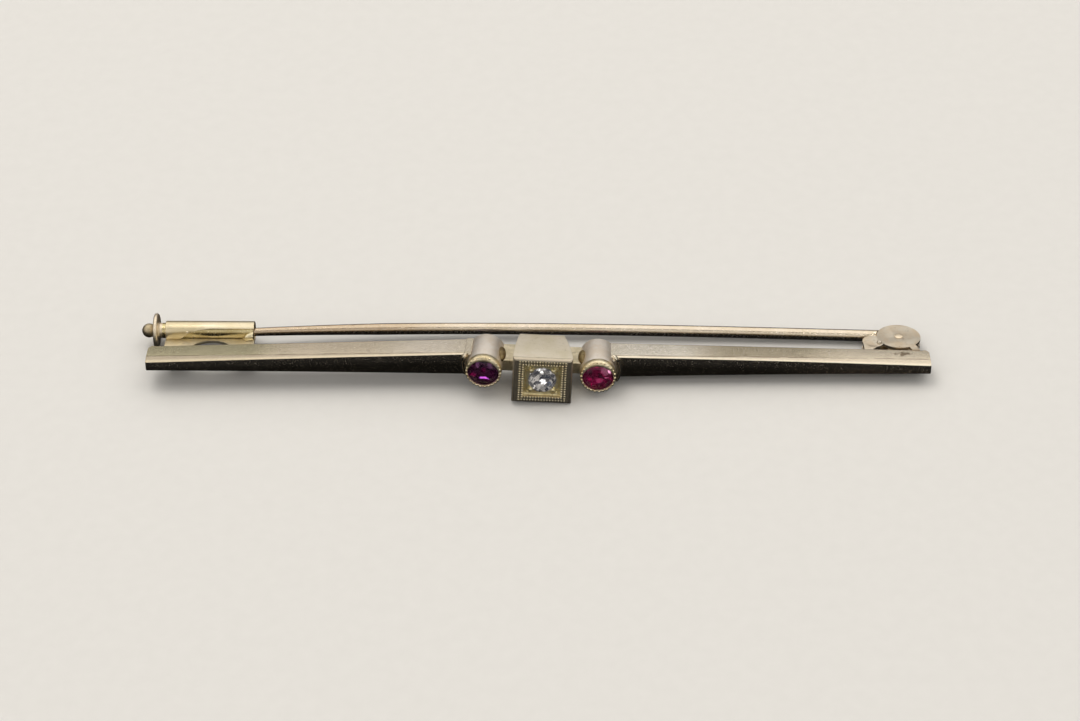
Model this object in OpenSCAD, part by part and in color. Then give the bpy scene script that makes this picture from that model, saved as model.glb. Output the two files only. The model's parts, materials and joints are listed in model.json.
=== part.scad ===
// Bar brooch with three stones, a riveted pin hinge and a sliding safety catch.
// It is drawn upright in its own axes: X along the bar, Y from the front face to the back, Z up.
// as_rested() then leans the whole brooch on to the three points that it lies on.

/* [Bar] */
// Length of the bar from end to end
bar_len = 60; // [56:0.5:66]
// Depth of the bar at the collets, from front to back
bar_depth = 2.4; // [2.2:0.1:2.8]
// Depth of the left arm, from its front face to the bar's back face
arm_left_depth = 2.3; // [2:0.05:2.4]
// Depth of the right arm, from its front face to the bar's back face
arm_right_depth = 2.15; // [2:0.05:2.4]
// Height of an arm at its outer end
arm_end_h = 0.8; // [0.7:0.05:1.1]
// Height of an arm at the axis of the ruby's collet
arm_root_h = 1.83; // [1.5:0.01:2]
// Rise of the left arm towards the middle, in degrees
arm_left_rise = 0.8; // [0:0.1:1.5]
// Rise of the right arm towards the middle, in degrees
arm_right_rise = 0.1; // [0:0.1:1.5]
// Width of the low bevel along the top front edge, at the outer end
bevel_end_w = 0.8; // [0.3:0.05:1]
// Width of the same bevel at the collet
bevel_root_w = 0.25; // [0.1:0.05:0.8]
// Fall of the bevel to the front face, at the outer end
bevel_fall = 0.1; // [0.02:0.01:0.2]
// Radius of the back corner at the outer end
corner_r = 0.5; // [0.2:0.05:0.8]

/* [Stone cluster] */
// Distance of the cluster's middle from the bar's middle, to the right
cluster_x = 0.24; // [-0.5:0.01:0.5]
// Height of the cluster's middle above the bar's ends
cluster_z = 0.18; // [0:0.01:0.4]
// Roll of the cluster, its right side down, in degrees
cluster_roll = 2.5; // [0:0.1:4]

/* [Ruby collets] */
// Distance of the left collet from the cluster's middle
collet_left_x = 4.22; // [4:0.01:4.8]
// Distance of the right collet from the cluster's middle
collet_right_x = 4.35; // [4:0.01:4.8]
// Turn of the left collet's face away from the middle, in degrees
collet_left_turn = 4; // [0:0.5:6]
// Radius of a collet at its bezel
collet_front_r = 1.36; // [1.25:0.01:1.4]
// Radius of a collet at its back
collet_back_r = 1.37; // [1.1:0.01:1.4]
// Length of a collet
collet_len = 3.45; // [3:0.05:3.6]
// Distance of a collet's front ahead of the bar's front face
collet_proud = 1.15; // [0.8:0.05:1.4]
// Radius of a ruby at its girdle
ruby_r = 1.24; // [1.1:0.01:1.25]

/* [Diamond box] */
// Width of the box at its front
box_front_w = 4.58; // [4:0.02:4.7]
// Height of the box at its front
box_front_h = 4; // [3.6:0.01:4.1]
// Distance of the front's middle to the right of the back's
box_front_x = 0.11; // [0:0.01:0.2]
// Distance of the front's middle below the back's
box_drop = 0.15; // [0:0.01:0.2]
// Width of the box at its back
box_back_w = 3.43; // [3.2:0.01:3.8]
// Height of the box at its back
box_back_h = 2.84; // [2.6:0.01:3.4]
// Distance of the box's front ahead of the bar's front face
box_proud = 1.85; // [1.6:0.05:2.2]
// Width of the bevel round the front of the box
box_bevel = 0.2; // [0.15:0.01:0.4]
// Side of the square recess that holds the stone's plate
recess_side = 2.95; // [2.8:0.01:3]
// Radius of the diamond at its girdle
diamond_r = 1.05; // [0.95:0.01:1.07]

/* [Catch] */
// Left end of the sheath, from the bar's middle
sheath_left_x = -29; // [-29:0.05:-28.8]
// Right end of the sheath, from the bar's middle
sheath_right_x = -22.1; // [-22.4:0.05:-22]
// Outer radius of the sheath
sheath_r = 0.765; // [0.75:0.005:0.8]
// Distance of the sheath's axis behind the bar's back face
sheath_back = 2.8; // [2.6:0.05:3]
// Height of the sheath's axis above the bar's middle
sheath_z = 0.05; // [0:0.01:0.1]
// Radius of the finger disc on the slider
finger_r = 1.35; // [1.2:0.05:1.5]
// Thickness of the finger disc
finger_t = 0.34; // [0.3:0.01:0.4]
// Radius of the ball at the slider's end
ball_r = 0.55; // [0.45:0.01:0.6]

/* [Hinge] */
// Distance of the rivet from the bar's middle
rivet_x = 27.88; // [27.5:0.01:28]
// Distance of the rivet behind the bar's back face
rivet_back = 1.95; // [1.9:0.01:2.1]
// Radius of a cheek
cheek_r = 1.68; // [1.6:0.01:1.75]
// Thickness of a cheek
cheek_t = 0.22; // [0.2:0.01:0.25]
// Gap between the two cheeks
cheek_gap = 0.4; // [0.38:0.01:0.44]
// Radius of the rivet
rivet_r = 0.3; // [0.25:0.01:0.35]

/* [Pin stem] */
// Radius of the stem along its middle
stem_r = 0.45; // [0.42:0.01:0.5]
// Radius of the stem where it enters the slider
stem_mouth_r = 0.32; // [0.28:0.01:0.33]
// Outward bow of the stem at its middle
stem_bow = 0.72; // [0.4:0.02:0.9]
// Angle to which the stem swings open, in degrees
swing_open = 100; // [60:5:110]

/* [Hidden] */

// Number of sides that a round solid is drawn with
ROUND = 72;
// Number of sides of a full turn of a long bow
LONG_BOW = 720;
// Clearance of a part that slides or turns in another
RUN = 0.03;
// Gap of a soldered seam or a stone's seat
SEAM = 0.015;
// More than any width or height of the brooch, for cutting blocks
WIDE = 8;

// Colours of the metals and stones
WHITE_GOLD = [0.80, 0.77, 0.68];
YELLOW_GOLD = [0.83, 0.72, 0.45];
ROSE_GOLD = [0.80, 0.67, 0.54];
RUBY_DARK = [0.40, 0.03, 0.20];
RUBY_PINK = [0.72, 0.05, 0.28];
DIAMOND = [0.86, 0.90, 0.94];

// Bar
arm_span = bar_len / 2 - collet_left_x;
arm_taper = atan((arm_root_h - arm_end_h) / 2 / arm_span);
bevel_turn = atan((bevel_end_w - bevel_root_w) / arm_span);
bevel_tilt = atan(bevel_fall / bevel_end_w);
saddle_w = 0.42;
saddle_h = 1.9;
saddle_cut = 0.8;
saddle_proud = 0.2;
saddle_len = bar_depth - 0.1;

// Collets, measured back from their front rim
lip_t = 0.17;
bezel_len = 0.5;
seat_r = ruby_r + SEAM;
seat_top = 0.22;
seat_end = 0.66;
light_hole_r = 0.92;
ledge_end = 0.95;
taper_start = bezel_len + 0.08;
collet_neck_r = collet_front_r - 0.03;
collet_front_y = -bar_depth / 2 - collet_proud;

// Cut stones, their tables ahead of the lip or the plate
ruby_rise = 0.06;
ruby_girdle_r = ruby_r - 0.01;
ruby_table_r = ruby_r * 0.56;
ruby_crown_h = 0.3;
ruby_girdle_h = 0.06;
ruby_depth = 0.62;
diamond_rise = 0.38;
diamond_table_r = diamond_r * 0.5;
diamond_crown_h = 0.32;
diamond_girdle_h = 0.05;
diamond_depth = 0.85;
main_share = 0.3;

// Diamond box, measured from the middle of the bar's depth
box_front_y = -bar_depth / 2 - box_proud;
box_back_y = bar_depth / 2;
box_belly = 0.08;
plate_front = 0.4;
plate_t = 0.5;
back_window_w = 2.2;
back_window_h = 1.7;
link_h = 1;
link_front_y = -1.2;
link_back_y = 1.1;
bead_r = 0.2;
bead_off = 0.9;
plate_hole_r = 0.72;
plate_seat_h = 0.35;

// Catch
sheath_y = bar_depth + sheath_back;
sheath_bore_r = sheath_r - 0.135;
window_tilt = 5;
window_half = 0.48;
window_left_x = sheath_left_x + 0.5;
collar_end_x = sheath_left_x + 1.3;
lip_full_x = sheath_left_x + 2.9;
base_t = 0.22;
base_top_z = -0.36;
base_under = 0.4;
arch_r = 2.2;
arch_x = (sheath_left_x + sheath_right_x) / 2;
arch_sunk = 0.7;

// Slider
slider_r = sheath_bore_r - RUN;
slider_bore_r = slider_r - 0.12;
slider_end_x = sheath_right_x - 0.06;
finger_x = sheath_left_x - 0.57;
ball_x = finger_x - finger_t - ball_r + 0.12;
bore_end_x = sheath_left_x + 0.2;
lug_w = 0.5;
lug_len = 0.75;
lug_right_x = slider_end_x - 0.08;
lug_reach = sheath_r + 0.02;
// Travel of the slider until its lug meets the closed collar
slide_travel = lug_right_x - lug_len - collar_end_x - 0.06;

// Hinge
rivet_y = bar_depth + rivet_back;
cheek_z = cheek_gap / 2;
cheek_top = cheek_z + cheek_t;
lobe_r = 0.83;
lobe_x = rivet_x - 2.03;
lobe_y = rivet_y - 0.75;
lobe_foot_x = lobe_x - lobe_r + 0.06;
stop_w = 0.62;
strip_t = 0.08;
strip_half = cheek_z + 0.05;
strip_right_x = rivet_x + 1.4;
rivet_head_r = 0.42;
rivet_head_t = 0.06;
bead_x = rivet_x - 1.62;
bead_y = rivet_y - 0.87;
hinge_bead_r = 0.15;
hinge_bead_sunk = 0.04;

// Stem
hub_r = 1.4;
hub_t = cheek_gap - 2 * 0.025;
swing_clear_r = cheek_r + 0.08;
tongue_w = 0.92;
tongue_lap = 2;
tongue_past = 0.2;
stem_root_x = rivet_x - 1.2;
stem_root_y = rivet_y + 0.7;
mouth_x = slider_end_x;
mouth_y = sheath_y - 0.07;
tip_x = sheath_left_x + 2.75;
tip_y = sheath_y - 0.16;
tip_r = 0.07;
cone_share = 0.2;
// Each taper starts inside the length before it, a hair thinner than it
taper_lap = 0.5;
taper_step = 0.01;

// The bow is one arc through the root and the mouth, with its height over their chord given
chord = norm([stem_root_x - mouth_x, stem_root_y - mouth_y]);
chord_turn = atan((stem_root_y - mouth_y) / (stem_root_x - mouth_x));
bow_r = (chord * chord / 4 + stem_bow * stem_bow) / (2 * stem_bow);
bow_half = asin(chord / 2 / bow_r);
cone_turn = 2 * bow_half * cone_share;

// The brooch rests on the belly of the box's lower right edge, on the finger disc and on the lower cheek
rest_lean = 10;
belly_y = (box_front_y + box_back_y) / 2;
belly_w = (box_front_w + box_back_w) / 2 + 2 * box_belly;
belly_h = (box_front_h + box_back_h) / 2 + 2 * box_belly;
rest_belly = cluster_point([(belly_w + box_front_x) / 2, belly_y, -(belly_h + box_drop) / 2]);
rest_cheek = [rivet_x, rivet_y + cheek_r, -cheek_top];
rest_disc_y = sheath_y + finger_r * sin(rest_lean);
rest_disc = [finger_x - finger_t / 2, rest_disc_y, sheath_z - finger_r * cos(rest_lean)];
rest_up = cross(rest_belly - rest_cheek, rest_disc - rest_cheek);
rest_slope = rest_up / rest_up[2];
lean_back = -atan(-rest_slope[1]);
lean_side = atan(-rest_slope[0] / norm([1, rest_slope[1]]));

// Points that reach furthest left, right, forward and back, for the middle of the footprint
reach_left = leaned([ball_x, sheath_y, sheath_z])[0] - ball_r;
reach_right = leaned([bar_len / 2, 0, arm_end_h / 2])[0];
front_corner = [box_front_x + box_front_w / 2, box_front_y, -box_drop - box_front_h / 2 + box_bevel];
reach_front = leaned(cluster_point(front_corner))[1];
reach_back = leaned([finger_x, sheath_y, sheath_z])[1] + finger_r;
ground = leaned(rest_belly)[2];

// Turns a point by the roll of the stone cluster and moves it there
function cluster_point(p) = [
    cluster_x + p[0] * cos(cluster_roll) + p[2] * sin(cluster_roll),
    bar_depth / 2 + p[1],
    cluster_z - p[0] * sin(cluster_roll) + p[2] * cos(cluster_roll)
];

// Leans a point back, then sideways, as as_rested() does
function leaned(p) = let (
    y = p[1] * cos(lean_back) - p[2] * sin(lean_back),
    z = p[1] * sin(lean_back) + p[2] * cos(lean_back)
) [p[0] * cos(lean_side) + z * sin(lean_side), y, z * cos(lean_side) - p[0] * sin(lean_side)];

// Lays its children as the brooch rests, the origin under the middle of its footprint
module as_rested() {
    translate([-(reach_left + reach_right) / 2, -(reach_front + reach_back) / 2, -ground])
        rotate([lean_back, lean_side, 0])
            children();
}

// Stands its children in the middle of the stone cluster
module in_cluster() {
    translate([cluster_x, bar_depth / 2, cluster_z])
        rotate([0, cluster_roll, 0])
            children();
}

// Stands its children at a collet, their +Z pointing back from the rim; side is -1 left, 1 right
module at_collet(side) {
    in_cluster()
        translate([side < 0 ? -collet_left_x : collet_right_x, 0, 0])
            rotate([0, 0, side < 0 ? -collet_left_turn : 0])
                translate([0, collet_front_y, 0])
                    rotate([-90, 0, 0])
                        children();
}

// Stands its children at the sheath's left end, their +Z along the bar to the right
module along_sheath(x) {
    translate([x, sheath_y, sheath_z])
        rotate([0, 90, 0])
            children();
}

// Mirrors its children to the right half for side 1
module on_side(side) {
    if (side < 0) {
        children();
    } else {
        mirror([1, 0, 0])
            children();
    }
}

// Wedge above the low bevel of an arm whose front face lies at front_y
module bevel_wedge(front_y) {
    translate([0, front_y + bevel_end_w, 0])
        rotate([0, 0, -bevel_turn])
            rotate([bevel_tilt, 0, 0])
                translate([-1, -WIDE, 0])
                    cube([arm_span + 2, WIDE, 1]);
}

// Block less a quarter round, which rounds the outer back corner
module corner_block() {
    translate([0, bar_depth - corner_r, 0])
        difference() {
            translate([-1, 0, -1])
                cube([corner_r + 1, corner_r + 1, 2]);
            translate([corner_r, 0, -1.5])
                cylinder(r = corner_r, h = 3, $fn = ROUND);
        }
}

// One tapering arm of a given depth, its outer end at the origin and its root towards +X
module arm_blank(depth) {
    difference() {
        translate([0, bar_depth, 0])
            rotate([90, 0, 0])
                linear_extrude(depth)
                    polygon([
                        [0, -arm_end_h / 2],
                        [0, arm_end_h / 2],
                        [arm_span, arm_root_h / 2],
                        [arm_span, -arm_root_h / 2]
                    ]);
        translate([0, 0, arm_end_h / 2])
            rotate([0, -arm_taper, 0])
                bevel_wedge(bar_depth - depth);
        corner_block();
    }
}

// Room that a collet takes out of its neighbours, a seam wider than the collet
module collet_room(side) {
    at_collet(side)
        translate([0, 0, -1])
            cylinder(r = max(collet_front_r, collet_back_r) + SEAM, h = collet_len + 2, $fn = ROUND);
}

// Curved lip at an arm's root, on the arm's side of the collet
module saddle(side) {
    intersection() {
        at_collet(side)
            translate([0, 0, collet_proud - saddle_proud])
                cylinder(r = collet_front_r + saddle_w, h = saddle_len, $fn = ROUND);
        at_collet(side)
            translate([side < 0 ? -WIDE - saddle_cut : saddle_cut, -saddle_h / 2, 0])
                cube([WIDE, saddle_h, WIDE]);
    }
}

module arm(side) {
    rise = side < 0 ? arm_left_rise : arm_right_rise;
    depth = side < 0 ? arm_left_depth : arm_right_depth;
    difference() {
        union() {
            on_side(side)
                translate([-bar_len / 2, 0, 0])
                    rotate([0, -rise, 0])
                        arm_blank(depth);
            saddle(side);
        }
        collet_room(side);
    }
}

module arm_left() {
    color(WHITE_GOLD)
        as_rested()
            arm(-1);
}

module arm_right() {
    color(WHITE_GOLD)
        as_rested()
            arm(1);
}

// Wall of a collet with its rolled lip, stone seat and light hole, turned about its axis
module collet() {
    rotate_extrude($fn = ROUND) {
        translate([collet_front_r - lip_t / 2, lip_t / 2])
            circle(d = lip_t, $fn = 32);
        polygon([
            [collet_front_r - lip_t, lip_t / 2],
            [collet_front_r, lip_t / 2],
            [collet_front_r, bezel_len],
            [collet_neck_r, taper_start],
            [collet_back_r, collet_len],
            [light_hole_r, collet_len],
            [light_hole_r, ledge_end],
            [seat_r, seat_end],
            [seat_r, seat_top]
        ]);
    }
}

module ruby_collet_left() {
    color(WHITE_GOLD)
        as_rested()
            at_collet(-1)
                collet();
}

module ruby_collet_right() {
    color(WHITE_GOLD)
        as_rested()
            at_collet(1)
                collet();
}

// Points of a ring of a cut stone
function ring(r, z, count, turn) = [
    for (i = [0 : count - 1]) [r * cos(turn + i * 360 / count), r * sin(turn + i * 360 / count), z]
];

// Round cut stone with its table at -Z and its point at +Z: table, 8 stars, 8 kites, 16 upper
// facets, a girdle of 16, 16 lower facets and 8 mains
module cut_stone(r, table_r, crown_h, girdle_h, depth) {
    kite_r = (r + table_r) / 2;
    kite_z = (kite_r * cos(22.5) - table_r) * crown_h / (r - table_r);
    main_r = r * main_share;
    point_z = crown_h + girdle_h + depth;
    main_z = point_z - main_r * cos(22.5) / r * depth;
    points = concat(
        ring(table_r, 0, 8, 0),
        ring(kite_r, kite_z, 8, 22.5),
        ring(r, crown_h, 16, 0),
        ring(r, crown_h + girdle_h, 16, 0),
        ring(main_r, main_z, 8, 22.5),
        [[0, 0, point_z]]
    );
    // First point of each ring in the list
    kite = 8;
    top = 16;
    under = 32;
    main = 48;
    point = 56;
    faces = concat(
        [[for (i = [0 : 7]) i]],
        [for (i = [0 : 7]) [i, kite + i, (i + 1) % 8]],
        [for (i = [0 : 7]) [i, kite + (i + 7) % 8, top + 2 * i, kite + i]],
        [for (i = [0 : 7]) [kite + i, top + 2 * i, top + 2 * i + 1]],
        [for (i = [0 : 7]) [kite + i, top + 2 * i + 1, top + (2 * i + 2) % 16]],
        [for (i = [0 : 15]) [top + i, under + i, under + (i + 1) % 16, top + (i + 1) % 16]],
        [for (i = [0 : 7]) [under + 2 * i, main + i, under + 2 * i + 1]],
        [for (i = [0 : 7]) [under + 2 * i + 1, main + i, under + (2 * i + 2) % 16]],
        [for (i = [0 : 7]) [under + 2 * i, main + (i + 7) % 8, point, main + i]]
    );
    polyhedron(points = points, faces = faces);
}

// Ruby in its collet, its table a little ahead of the lip
module ruby(side) {
    at_collet(side)
        translate([0, 0, -ruby_rise])
            cut_stone(ruby_girdle_r, ruby_table_r, ruby_crown_h, ruby_girdle_h, ruby_depth);
}

module ruby_left() {
    color(RUBY_DARK)
        as_rested()
            ruby(-1);
}

module ruby_right() {
    color(RUBY_PINK)
        as_rested()
            ruby(1);
}

// Outline of the box, bellied at its sides, bevelled at its front, the front's middle shifted
function box_outline(front, back, shift) = [
    [shift - front / 2 + box_bevel, box_front_y],
    [shift - front / 2, box_front_y + box_bevel],
    [shift / 2 - (front + back) / 4 - box_belly, belly_y],
    [-back / 2, box_back_y],
    [back / 2, box_back_y],
    [shift / 2 + (front + back) / 4 + box_belly, belly_y],
    [shift + front / 2, box_front_y + box_bevel],
    [shift + front / 2 - box_bevel, box_front_y]
];

// Tapering box, its plan and its side view cut from each other
module box_blank() {
    intersection() {
        translate([0, 0, -WIDE / 2])
            linear_extrude(WIDE)
                polygon(box_outline(box_front_w, box_back_w, box_front_x));
        rotate([0, -90, 0])
            translate([0, 0, -WIDE / 2])
                linear_extrude(WIDE)
                    polygon(box_outline(box_front_h, box_back_h, -box_drop));
    }
}

// Block of a given width and height between two depths of the cluster
module cluster_block(w, h, y0, y1) {
    translate([-w / 2, y0, -h / 2])
        cube([w, y1 - y0, h]);
}

// Moves its children from the middle of the box's back to the middle of its front
module on_box_front() {
    translate([box_front_x, 0, -box_drop])
        children();
}

module diamond_box() {
    recess_end = box_front_y + plate_front + plate_t + SEAM;
    color(WHITE_GOLD)
        as_rested()
            difference() {
                in_cluster()
                    difference() {
                        union() {
                            box_blank();
                            cluster_block(collet_left_x + collet_right_x, link_h, link_front_y, link_back_y);
                        }
                        on_box_front()
                            cluster_block(recess_side, recess_side, box_front_y - 1, recess_end);
                        cluster_block(back_window_w, back_window_h, box_front_y, box_back_y + 1);
                    }
                collet_room(-1);
                collet_room(1);
            }
}

module stone_plate() {
    side = recess_side - 2 * SEAM;
    plate_y = box_front_y + plate_front;
    color(YELLOW_GOLD)
        as_rested()
            in_cluster()
                on_box_front()
                    difference() {
                        union() {
                            cluster_block(side, side, plate_y, plate_y + plate_t);
                            for (x = [-1, 1], z = [-1, 1])
                                translate([x * bead_off, plate_y, z * bead_off])
                                    sphere(r = bead_r, $fn = 32);
                        }
                        translate([0, plate_y - 1, 0])
                            rotate([-90, 0, 0])
                                cylinder(r = plate_hole_r, h = 2, $fn = ROUND);
                        translate([0, plate_y - 0.001, 0])
                            rotate([-90, 0, 0])
                                cylinder(
                                    r1 = diamond_r + SEAM,
                                    r2 = plate_hole_r,
                                    h = plate_seat_h,
                                    $fn = ROUND
                                );
                    }
}

module diamond() {
    color(DIAMOND)
        as_rested()
            in_cluster()
                on_box_front()
                    translate([0, box_front_y + plate_front - diamond_rise, 0])
                        rotate([-90, 0, 0])
                            cut_stone(
                                diamond_r,
                                diamond_table_r,
                                diamond_crown_h,
                                diamond_girdle_h,
                                diamond_depth
                            );
}

// Way through the sheath's near side, wide open to the right and slanting shut at the collar
module sheath_window() {
    along_sheath(0)
        rotate([0, 0, -window_tilt])
            rotate([-90, 0, 0])
                translate([0, 0, -WIDE])
                    linear_extrude(WIDE)
                        rotate(-90)
                            polygon([
                                [window_left_x, window_half],
                                [collar_end_x, -lug_w / 2],
                                [lip_full_x, -window_half],
                                [sheath_right_x + 1, -window_half],
                                [sheath_right_x + 1, window_half]
                            ]);
}

module catch() {
    sheath_len = sheath_right_x - sheath_left_x;
    color(YELLOW_GOLD)
        as_rested()
            difference() {
                union() {
                    difference() {
                        along_sheath(sheath_left_x)
                            cylinder(r = sheath_r, h = sheath_len, $fn = ROUND);
                        sheath_window();
                    }
                    difference() {
                        translate([sheath_left_x, bar_depth, base_top_z - base_t])
                            cube([sheath_len, sheath_back - base_under, base_t]);
                        translate([arch_x, bar_depth - arch_sunk, -1])
                            cylinder(r = arch_r, h = 2, $fn = ROUND);
                    }
                }
                along_sheath(sheath_left_x - 1)
                    cylinder(r = sheath_bore_r, h = sheath_len + 2, $fn = ROUND);
            }
}

// Finger disc with a round edge, its right face at the origin
module finger_disc() {
    translate([0, 0, -finger_t / 2]) {
        cylinder(r = finger_r - finger_t / 2, h = finger_t, center = true, $fn = ROUND);
        rotate_extrude($fn = ROUND)
            translate([finger_r - finger_t / 2, 0])
                circle(d = finger_t, $fn = 32);
    }
}

module safety_slider() {
    color(ROSE_GOLD)
        as_rested()
            difference() {
                union() {
                    along_sheath(finger_x - 0.1)
                        cylinder(r = slider_r, h = slider_end_x - finger_x + 0.1, $fn = ROUND);
                    along_sheath(finger_x)
                        finger_disc();
                    along_sheath(ball_x)
                        sphere(r = ball_r, $fn = ROUND);
                    along_sheath(lug_right_x - lug_len)
                        rotate([0, 0, -window_tilt])
                            translate([-lug_w / 2, -lug_reach, 0])
                                cube([lug_w, lug_reach, lug_len]);
                }
                along_sheath(bore_end_x)
                    cylinder(r = slider_bore_r, h = WIDE, $fn = ROUND);
            }
}

// One cheek with its lobe and its two feet, from a height upwards
module cheek(z) {
    translate([0, 0, z]) {
        translate([rivet_x, rivet_y, 0])
            cylinder(r = cheek_r, h = cheek_t, $fn = ROUND);
        translate([lobe_x, lobe_y, 0])
            cylinder(r = lobe_r, h = cheek_t, $fn = ROUND);
        linear_extrude(cheek_t)
            polygon([
                [lobe_x - lobe_r, lobe_y],
                [lobe_foot_x, bar_depth],
                [lobe_x - 0.15, bar_depth],
                [lobe_x + 0.4, lobe_y - 0.6],
                [lobe_x, lobe_y]
            ]);
        linear_extrude(cheek_t)
            polygon([
                [rivet_x + 0.6, rivet_y - 1.3],
                [rivet_x + 0.85, bar_depth],
                [rivet_x + 1.45, bar_depth],
                [rivet_x + 1.1, rivet_y - 1]
            ]);
    }
}

module hinge_bracket() {
    color(WHITE_GOLD)
        as_rested()
            difference() {
                union() {
                    cheek(cheek_z);
                    cheek(-cheek_top);
                    translate([lobe_foot_x, bar_depth, -strip_half])
                        cube([strip_right_x - lobe_foot_x, strip_t, 2 * strip_half]);
                    translate([lobe_foot_x, bar_depth, -strip_half])
                        cube([stop_w, lobe_y - bar_depth, 2 * strip_half]);
                    translate([bead_x, bead_y, cheek_top - hinge_bead_sunk])
                        sphere(r = hinge_bead_r, $fn = 32);
                }
                translate([rivet_x, rivet_y, -1])
                    cylinder(r = rivet_r + SEAM, h = 2, $fn = ROUND);
            }
}

module hinge_rivet() {
    color(WHITE_GOLD)
        as_rested()
            translate([rivet_x, rivet_y, 0]) {
                cylinder(r = rivet_r, h = 2 * cheek_top + rivet_head_t, center = true, $fn = ROUND);
                for (side = [0, 1])
                    mirror([0, 0, side])
                        translate([0, 0, cheek_top])
                            cylinder(r1 = rivet_head_r, r2 = rivet_r, h = rivet_head_t, $fn = ROUND);
            }
}

// Round taper between two points of the brooch's level plane, its wide end lapped into what it joins
module taper(from, to, r_from, r_to) {
    run = to - from;
    translate([from[0], from[1], 0])
        rotate([0, 0, atan2(run[1], run[0])])
            translate([-taper_lap, 0, 0])
                rotate([0, 90, 0])
                    cylinder(r1 = r_from - taper_step, r2 = r_to, h = norm(run) + taper_lap, $fn = ROUND);
}

// Round part of the stem: one long bow, then a taper to the mouth of the slider
module stem_bow_part() {
    bow_centre = [
        (stem_root_x + mouth_x) / 2 + sin(chord_turn) * (bow_r - stem_bow),
        (stem_root_y + mouth_y) / 2 - cos(chord_turn) * (bow_r - stem_bow)
    ];
    root_turn = 90 + chord_turn - bow_half;
    cone_start = root_turn + 2 * bow_half - cone_turn;
    cone_from = bow_centre + bow_r * [cos(cone_start), sin(cone_start)];
    translate([bow_centre[0], bow_centre[1], 0])
        rotate([0, 0, root_turn])
            rotate_extrude(angle = 2 * bow_half - cone_turn, $fn = LONG_BOW)
                translate([bow_r, 0])
                    circle(r = stem_r, $fn = ROUND);
    taper(cone_from, [mouth_x, mouth_y], stem_r, stem_mouth_r);
    taper([mouth_x, mouth_y], [tip_x, tip_y], stem_mouth_r, tip_r);
}

module pin_stem() {
    color(ROSE_GOLD)
        as_rested()
            difference() {
                union() {
                    difference() {
                        stem_bow_part();
                        translate([rivet_x, rivet_y, -1])
                            cylinder(r = swing_clear_r, h = 2, $fn = ROUND);
                    }
                    translate([rivet_x, rivet_y, -hub_t / 2])
                        cylinder(r = hub_r, h = hub_t, $fn = ROUND);
                    translate([stem_root_x - tongue_lap, stem_root_y - tongue_w / 2, -hub_t / 2])
                        cube([tongue_lap + tongue_past, tongue_w, hub_t]);
                }
                translate([rivet_x, rivet_y, -1])
                    cylinder(r = rivet_r + RUN, h = 2, $fn = ROUND);
            }
}

arm_left();
arm_right();
ruby_collet_left();
ruby_collet_right();
diamond_box();
stone_plate();
ruby_left();
ruby_right();
diamond();
catch();
safety_slider();
hinge_bracket();
hinge_rivet();
pin_stem();
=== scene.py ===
"""Bar brooch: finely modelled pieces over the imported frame, their finishes, the camera and the light."""

import json
import logging
import math
import random
from collections.abc import Callable, Iterator, Sequence
from contextlib import contextmanager
from dataclasses import dataclass, replace
from enum import Enum
from typing import Any

import bmesh
import bpy
from mathutils import Euler, Matrix, Vector


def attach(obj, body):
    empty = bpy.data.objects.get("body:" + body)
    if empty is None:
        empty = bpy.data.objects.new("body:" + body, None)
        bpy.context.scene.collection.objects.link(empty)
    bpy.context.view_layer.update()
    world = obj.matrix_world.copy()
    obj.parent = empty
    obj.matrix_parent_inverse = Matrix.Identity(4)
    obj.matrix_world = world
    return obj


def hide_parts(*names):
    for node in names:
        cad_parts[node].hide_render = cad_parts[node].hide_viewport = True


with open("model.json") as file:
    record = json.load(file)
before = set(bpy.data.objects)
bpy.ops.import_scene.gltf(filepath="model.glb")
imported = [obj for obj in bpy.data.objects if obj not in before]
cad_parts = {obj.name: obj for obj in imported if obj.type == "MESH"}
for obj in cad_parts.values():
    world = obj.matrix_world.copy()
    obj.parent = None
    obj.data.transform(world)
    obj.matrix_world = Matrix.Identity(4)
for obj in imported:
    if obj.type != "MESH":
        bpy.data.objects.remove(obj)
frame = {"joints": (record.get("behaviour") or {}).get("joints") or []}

LOG = logging.getLogger("brooch")

# Metres in a millimetre; the rest are millimetres: points this near count as one when they are
# welded, on one plane when they are cut, and at one place when they are picked.
MM = 0.001
WELD = 0.0005
ON_PLANE = 0.00001
NEAR = 0.01

# A face looks along an axis if its normal has more than this share of it.
FACING = 0.95

# Sides of a round piece and of a small one, and the angle in degrees that makes an edge a crease.
ROUND = 96
SMALL_ROUND = 48
CREASE = 50

Colour = tuple[float, float, float]
Spot = tuple[float, float, float]
Station = tuple[float, float]
Test = Callable[[Any], bool]
Piece = bpy.types.Object
Socket = bpy.types.NodeSocket


class Body(Enum):
    """The bodies that pieces ride on."""

    BROOCH = "brooch"
    PIN = "pin"
    SLIDER = "slider"


class Cap(Enum):
    """How an end of a turned or drawn piece is closed."""

    OPEN = 0
    FLAT = 1
    POINT = 2


class Side(Enum):
    """The brooch's left and right half, with the sign of X there."""

    LEFT = -1
    RIGHT = 1

    @property
    def word(self) -> str:
        """The side's name in lower case."""
        return self.name.lower()


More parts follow.
